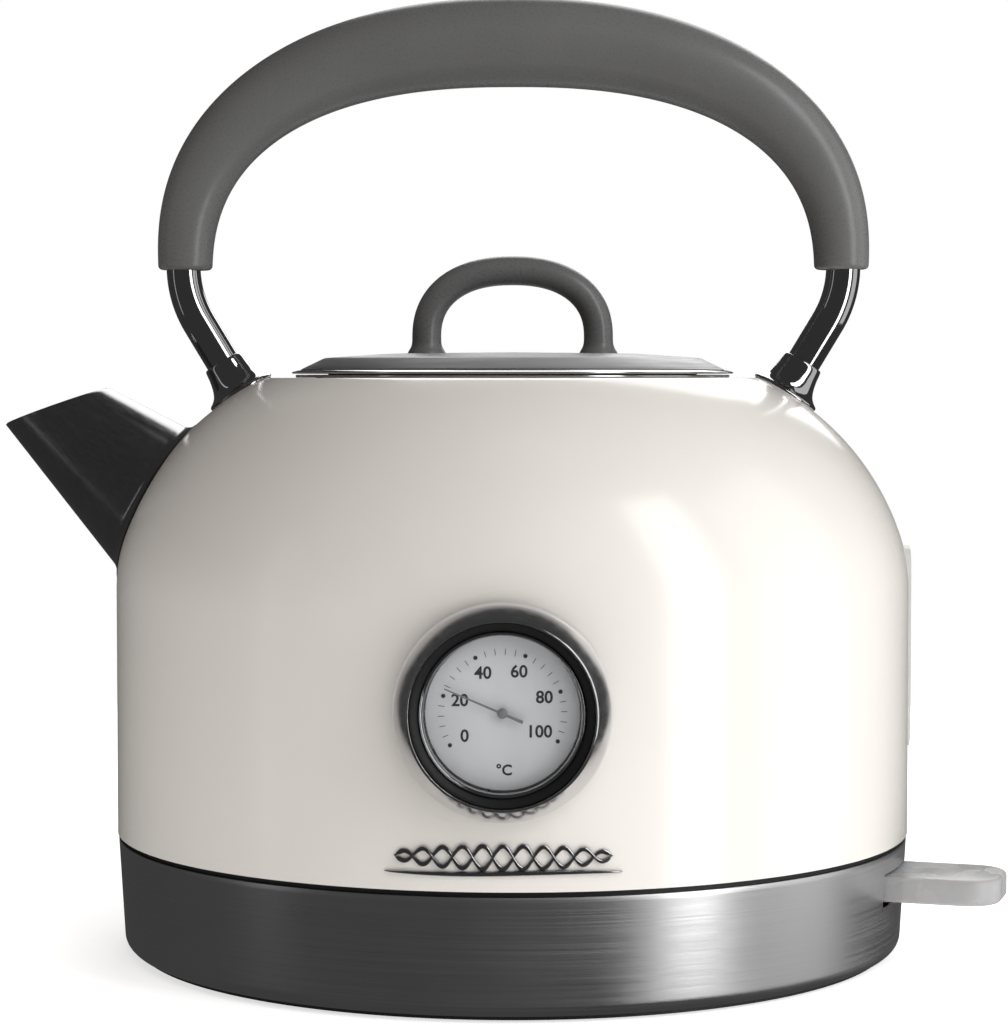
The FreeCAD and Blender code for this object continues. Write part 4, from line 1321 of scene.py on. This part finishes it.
@dataclass
class Softbox:
    """A rectangular lamp aimed at the kettle, unseen by the camera."""

    name: str
    azimuth: float
    elevation: float
    distance: float
    width: float
    height: float
    power: float
    mirrored: bool = True

    def build(self, aim: Vector) -> None:
        """Hangs the lamp; azimuth is from the front towards +X, in degrees, and lengths are in metres."""
        lamp = bpy.data.lights.new(self.name, "AREA")
        lamp.shape = "RECTANGLE"
        lamp.size, lamp.size_y = self.width, self.height
        lamp.energy = self.power
        holder = bpy.data.objects.new(self.name, lamp)
        bpy.context.scene.collection.objects.link(holder)
        a, e = math.radians(self.azimuth), math.radians(self.elevation)
        out = Vector((math.sin(a) * math.cos(e), -math.cos(a) * math.cos(e), math.sin(e)))
        holder.location = aim + out * self.distance
        holder.rotation_euler = out.to_track_quat("Z", "Y").to_euler()
        holder.visible_camera = False
        holder.visible_glossy = self.mirrored


@dataclass
class Studio:
    """Camera, softboxes, a pale floor and a white room."""

    camera_distance: float = 0.696
    camera_height: float = 0.1364
    camera_turn: float = 1.2
    pitch: float = 2.68
    aim_left: float = 0.00205
    lens: float = 101.3
    room_light: float = 0.2
    floor_half: float = 0.5
    floor_drop: float = 0.0003
    aim_height: float = 0.1
    # Name, azimuth, elevation, distance, width, height, watts, and whether mirrors see it
    softboxes: list[Softbox] = field(default_factory=lambda: [
        Softbox("key_softbox", 51.0, 15.0, 1.0, 0.30, 1.4, 4.8),
        Softbox("right_softbox", 88.0, 12.0, 1.0, 0.62, 1.3, 1.9),
        Softbox("left_strip", -68.0, 8.0, 1.1, 0.10, 0.9, 0.16),
        Softbox("front_fill", 28.0, 42.0, 1.5, 1.2, 0.8, 5.4, False),
        Softbox("right_fill", 92.0, 25.0, 1.4, 0.9, 0.9, 3.8, False),
        Softbox("top_light", 40.0, 80.0, 1.2, 0.5, 0.4, 1.4, False),
        Softbox("back_softbox", 172.0, 32.0, 1.3, 0.8, 0.9, 5.0),
    ])

    def build(self) -> None:
        """Sets up the view and the light."""
        scene = bpy.context.scene
        scene.view_settings.view_transform = "Standard"
        camera = bpy.data.cameras.new("camera")
        camera.lens = self.lens
        camera.sensor_width = 36.0
        holder = bpy.data.objects.new("camera", camera)
        scene.collection.objects.link(holder)
        turn = math.radians(self.camera_turn)
        away = Vector((math.sin(turn), -math.cos(turn), 0.0))
        right = Vector((math.cos(turn), math.sin(turn), 0.0))
        holder.location = away * self.camera_distance + Vector((0, 0, self.camera_height))
        drop = self.camera_distance * math.tan(math.radians(self.pitch))
        aim = right * -self.aim_left + Vector((0, 0, self.camera_height - drop))
        holder.rotation_euler = (aim - holder.location).to_track_quat("-Z", "Y").to_euler()
        scene.camera = holder
        for softbox in self.softboxes:
            softbox.build(Vector((0, 0, self.aim_height)))
        self.floor()
        self.room()

    def floor(self) -> None:
        """A large pale sheet under the kettle that mirrors don't see."""
        half = self.floor_half
        mesh = bpy.data.meshes.new("floor")
        corners = [(x * half, y * half, -self.floor_drop) for x, y in ((-1, -1), (1, -1), (1, 1), (-1, 1))]
        mesh.from_pydata(corners, [], [(0, 1, 2, 3)])
        sheet = bpy.data.objects.new("floor", mesh)
        bpy.context.scene.collection.objects.link(sheet)
        graph = Graph("pale_paper")
        fibres = graph.noise(graph.place(Grain.EVEN, 1.0, 1.0), 60.0)
        graph.set(Base_Color=graph.tone(fibres, (0.90, 0.90, 0.90), (0.93, 0.93, 0.93)), Roughness=0.9)
        graph.set(Emission_Color=(1.0, 1.0, 1.0), Emission_Strength=0.66)
        # From below the sheet is see-through, so the underside can be looked at
        side = graph.node("ShaderNodeNewGeometry", {}, {}).outputs["Backfacing"]
        clear = graph.node("ShaderNodeBsdfTransparent", {}, {}).outputs[0]
        both = graph.node("ShaderNodeMixShader", {}, {0: side, 1: graph.shader.outputs[0], 2: clear})
        out = next(n for n in graph.tree.nodes if n.type == "OUTPUT_MATERIAL")
        graph.feed(out.inputs["Surface"], both.outputs[0])
        mesh.materials.append(graph.material)
        sheet.visible_glossy = False

    def room(self) -> None:
        """White behind the kettle, soft light from all round, and near darkness in reflections."""
        world = bpy.data.worlds.new("room")
        world.use_nodes = True
        tree = world.node_tree
        tree.nodes.clear()
        rays = tree.nodes.new("ShaderNodeLightPath")
        white, soft, dark = [tree.nodes.new("ShaderNodeBackground") for _ in range(3)]
        white.inputs[0].default_value = (1.0, 1.0, 1.0, 1.0)
        soft.inputs[0].default_value = (1.0, 0.93, 0.87, 1.0)
        soft.inputs[1].default_value = self.room_light
        dark.inputs[0].default_value = (0.05, 0.05, 0.05, 1.0)
        glossy, camera = [tree.nodes.new("ShaderNodeMixShader") for _ in range(2)]
        out = tree.nodes.new("ShaderNodeOutputWorld")
        for mixer, ray, usual, special in ((glossy, "Is Glossy Ray", soft, dark),
                                           (camera, "Is Camera Ray", glossy, white)):
            for number, source in enumerate((rays.outputs[ray], usual.outputs[0], special.outputs[0])):
                tree.links.new(source, mixer.inputs[number])
        tree.links.new(camera.outputs[0], out.inputs[0])
        bpy.context.scene.world = world


def main() -> None:
    """Builds the kettle and its studio."""
    logging.basicConfig(level=logging.INFO, format="%(message)s")
    shop = Workshop()
    vessel = Vessel()
    spout = Spout()
    vessel.build(shop, spout)
    Skirt().build(shop)
    spout.build(shop, vessel)
    Thermometer().build(shop)
    Handle().build(shop, vessel)
    Lid().build(shop)
    Lever().build(shop)
    Scrollwork().build(shop)
    shop.dress_nodes()
    Studio().build()


if __name__ == "__main__":
    main()
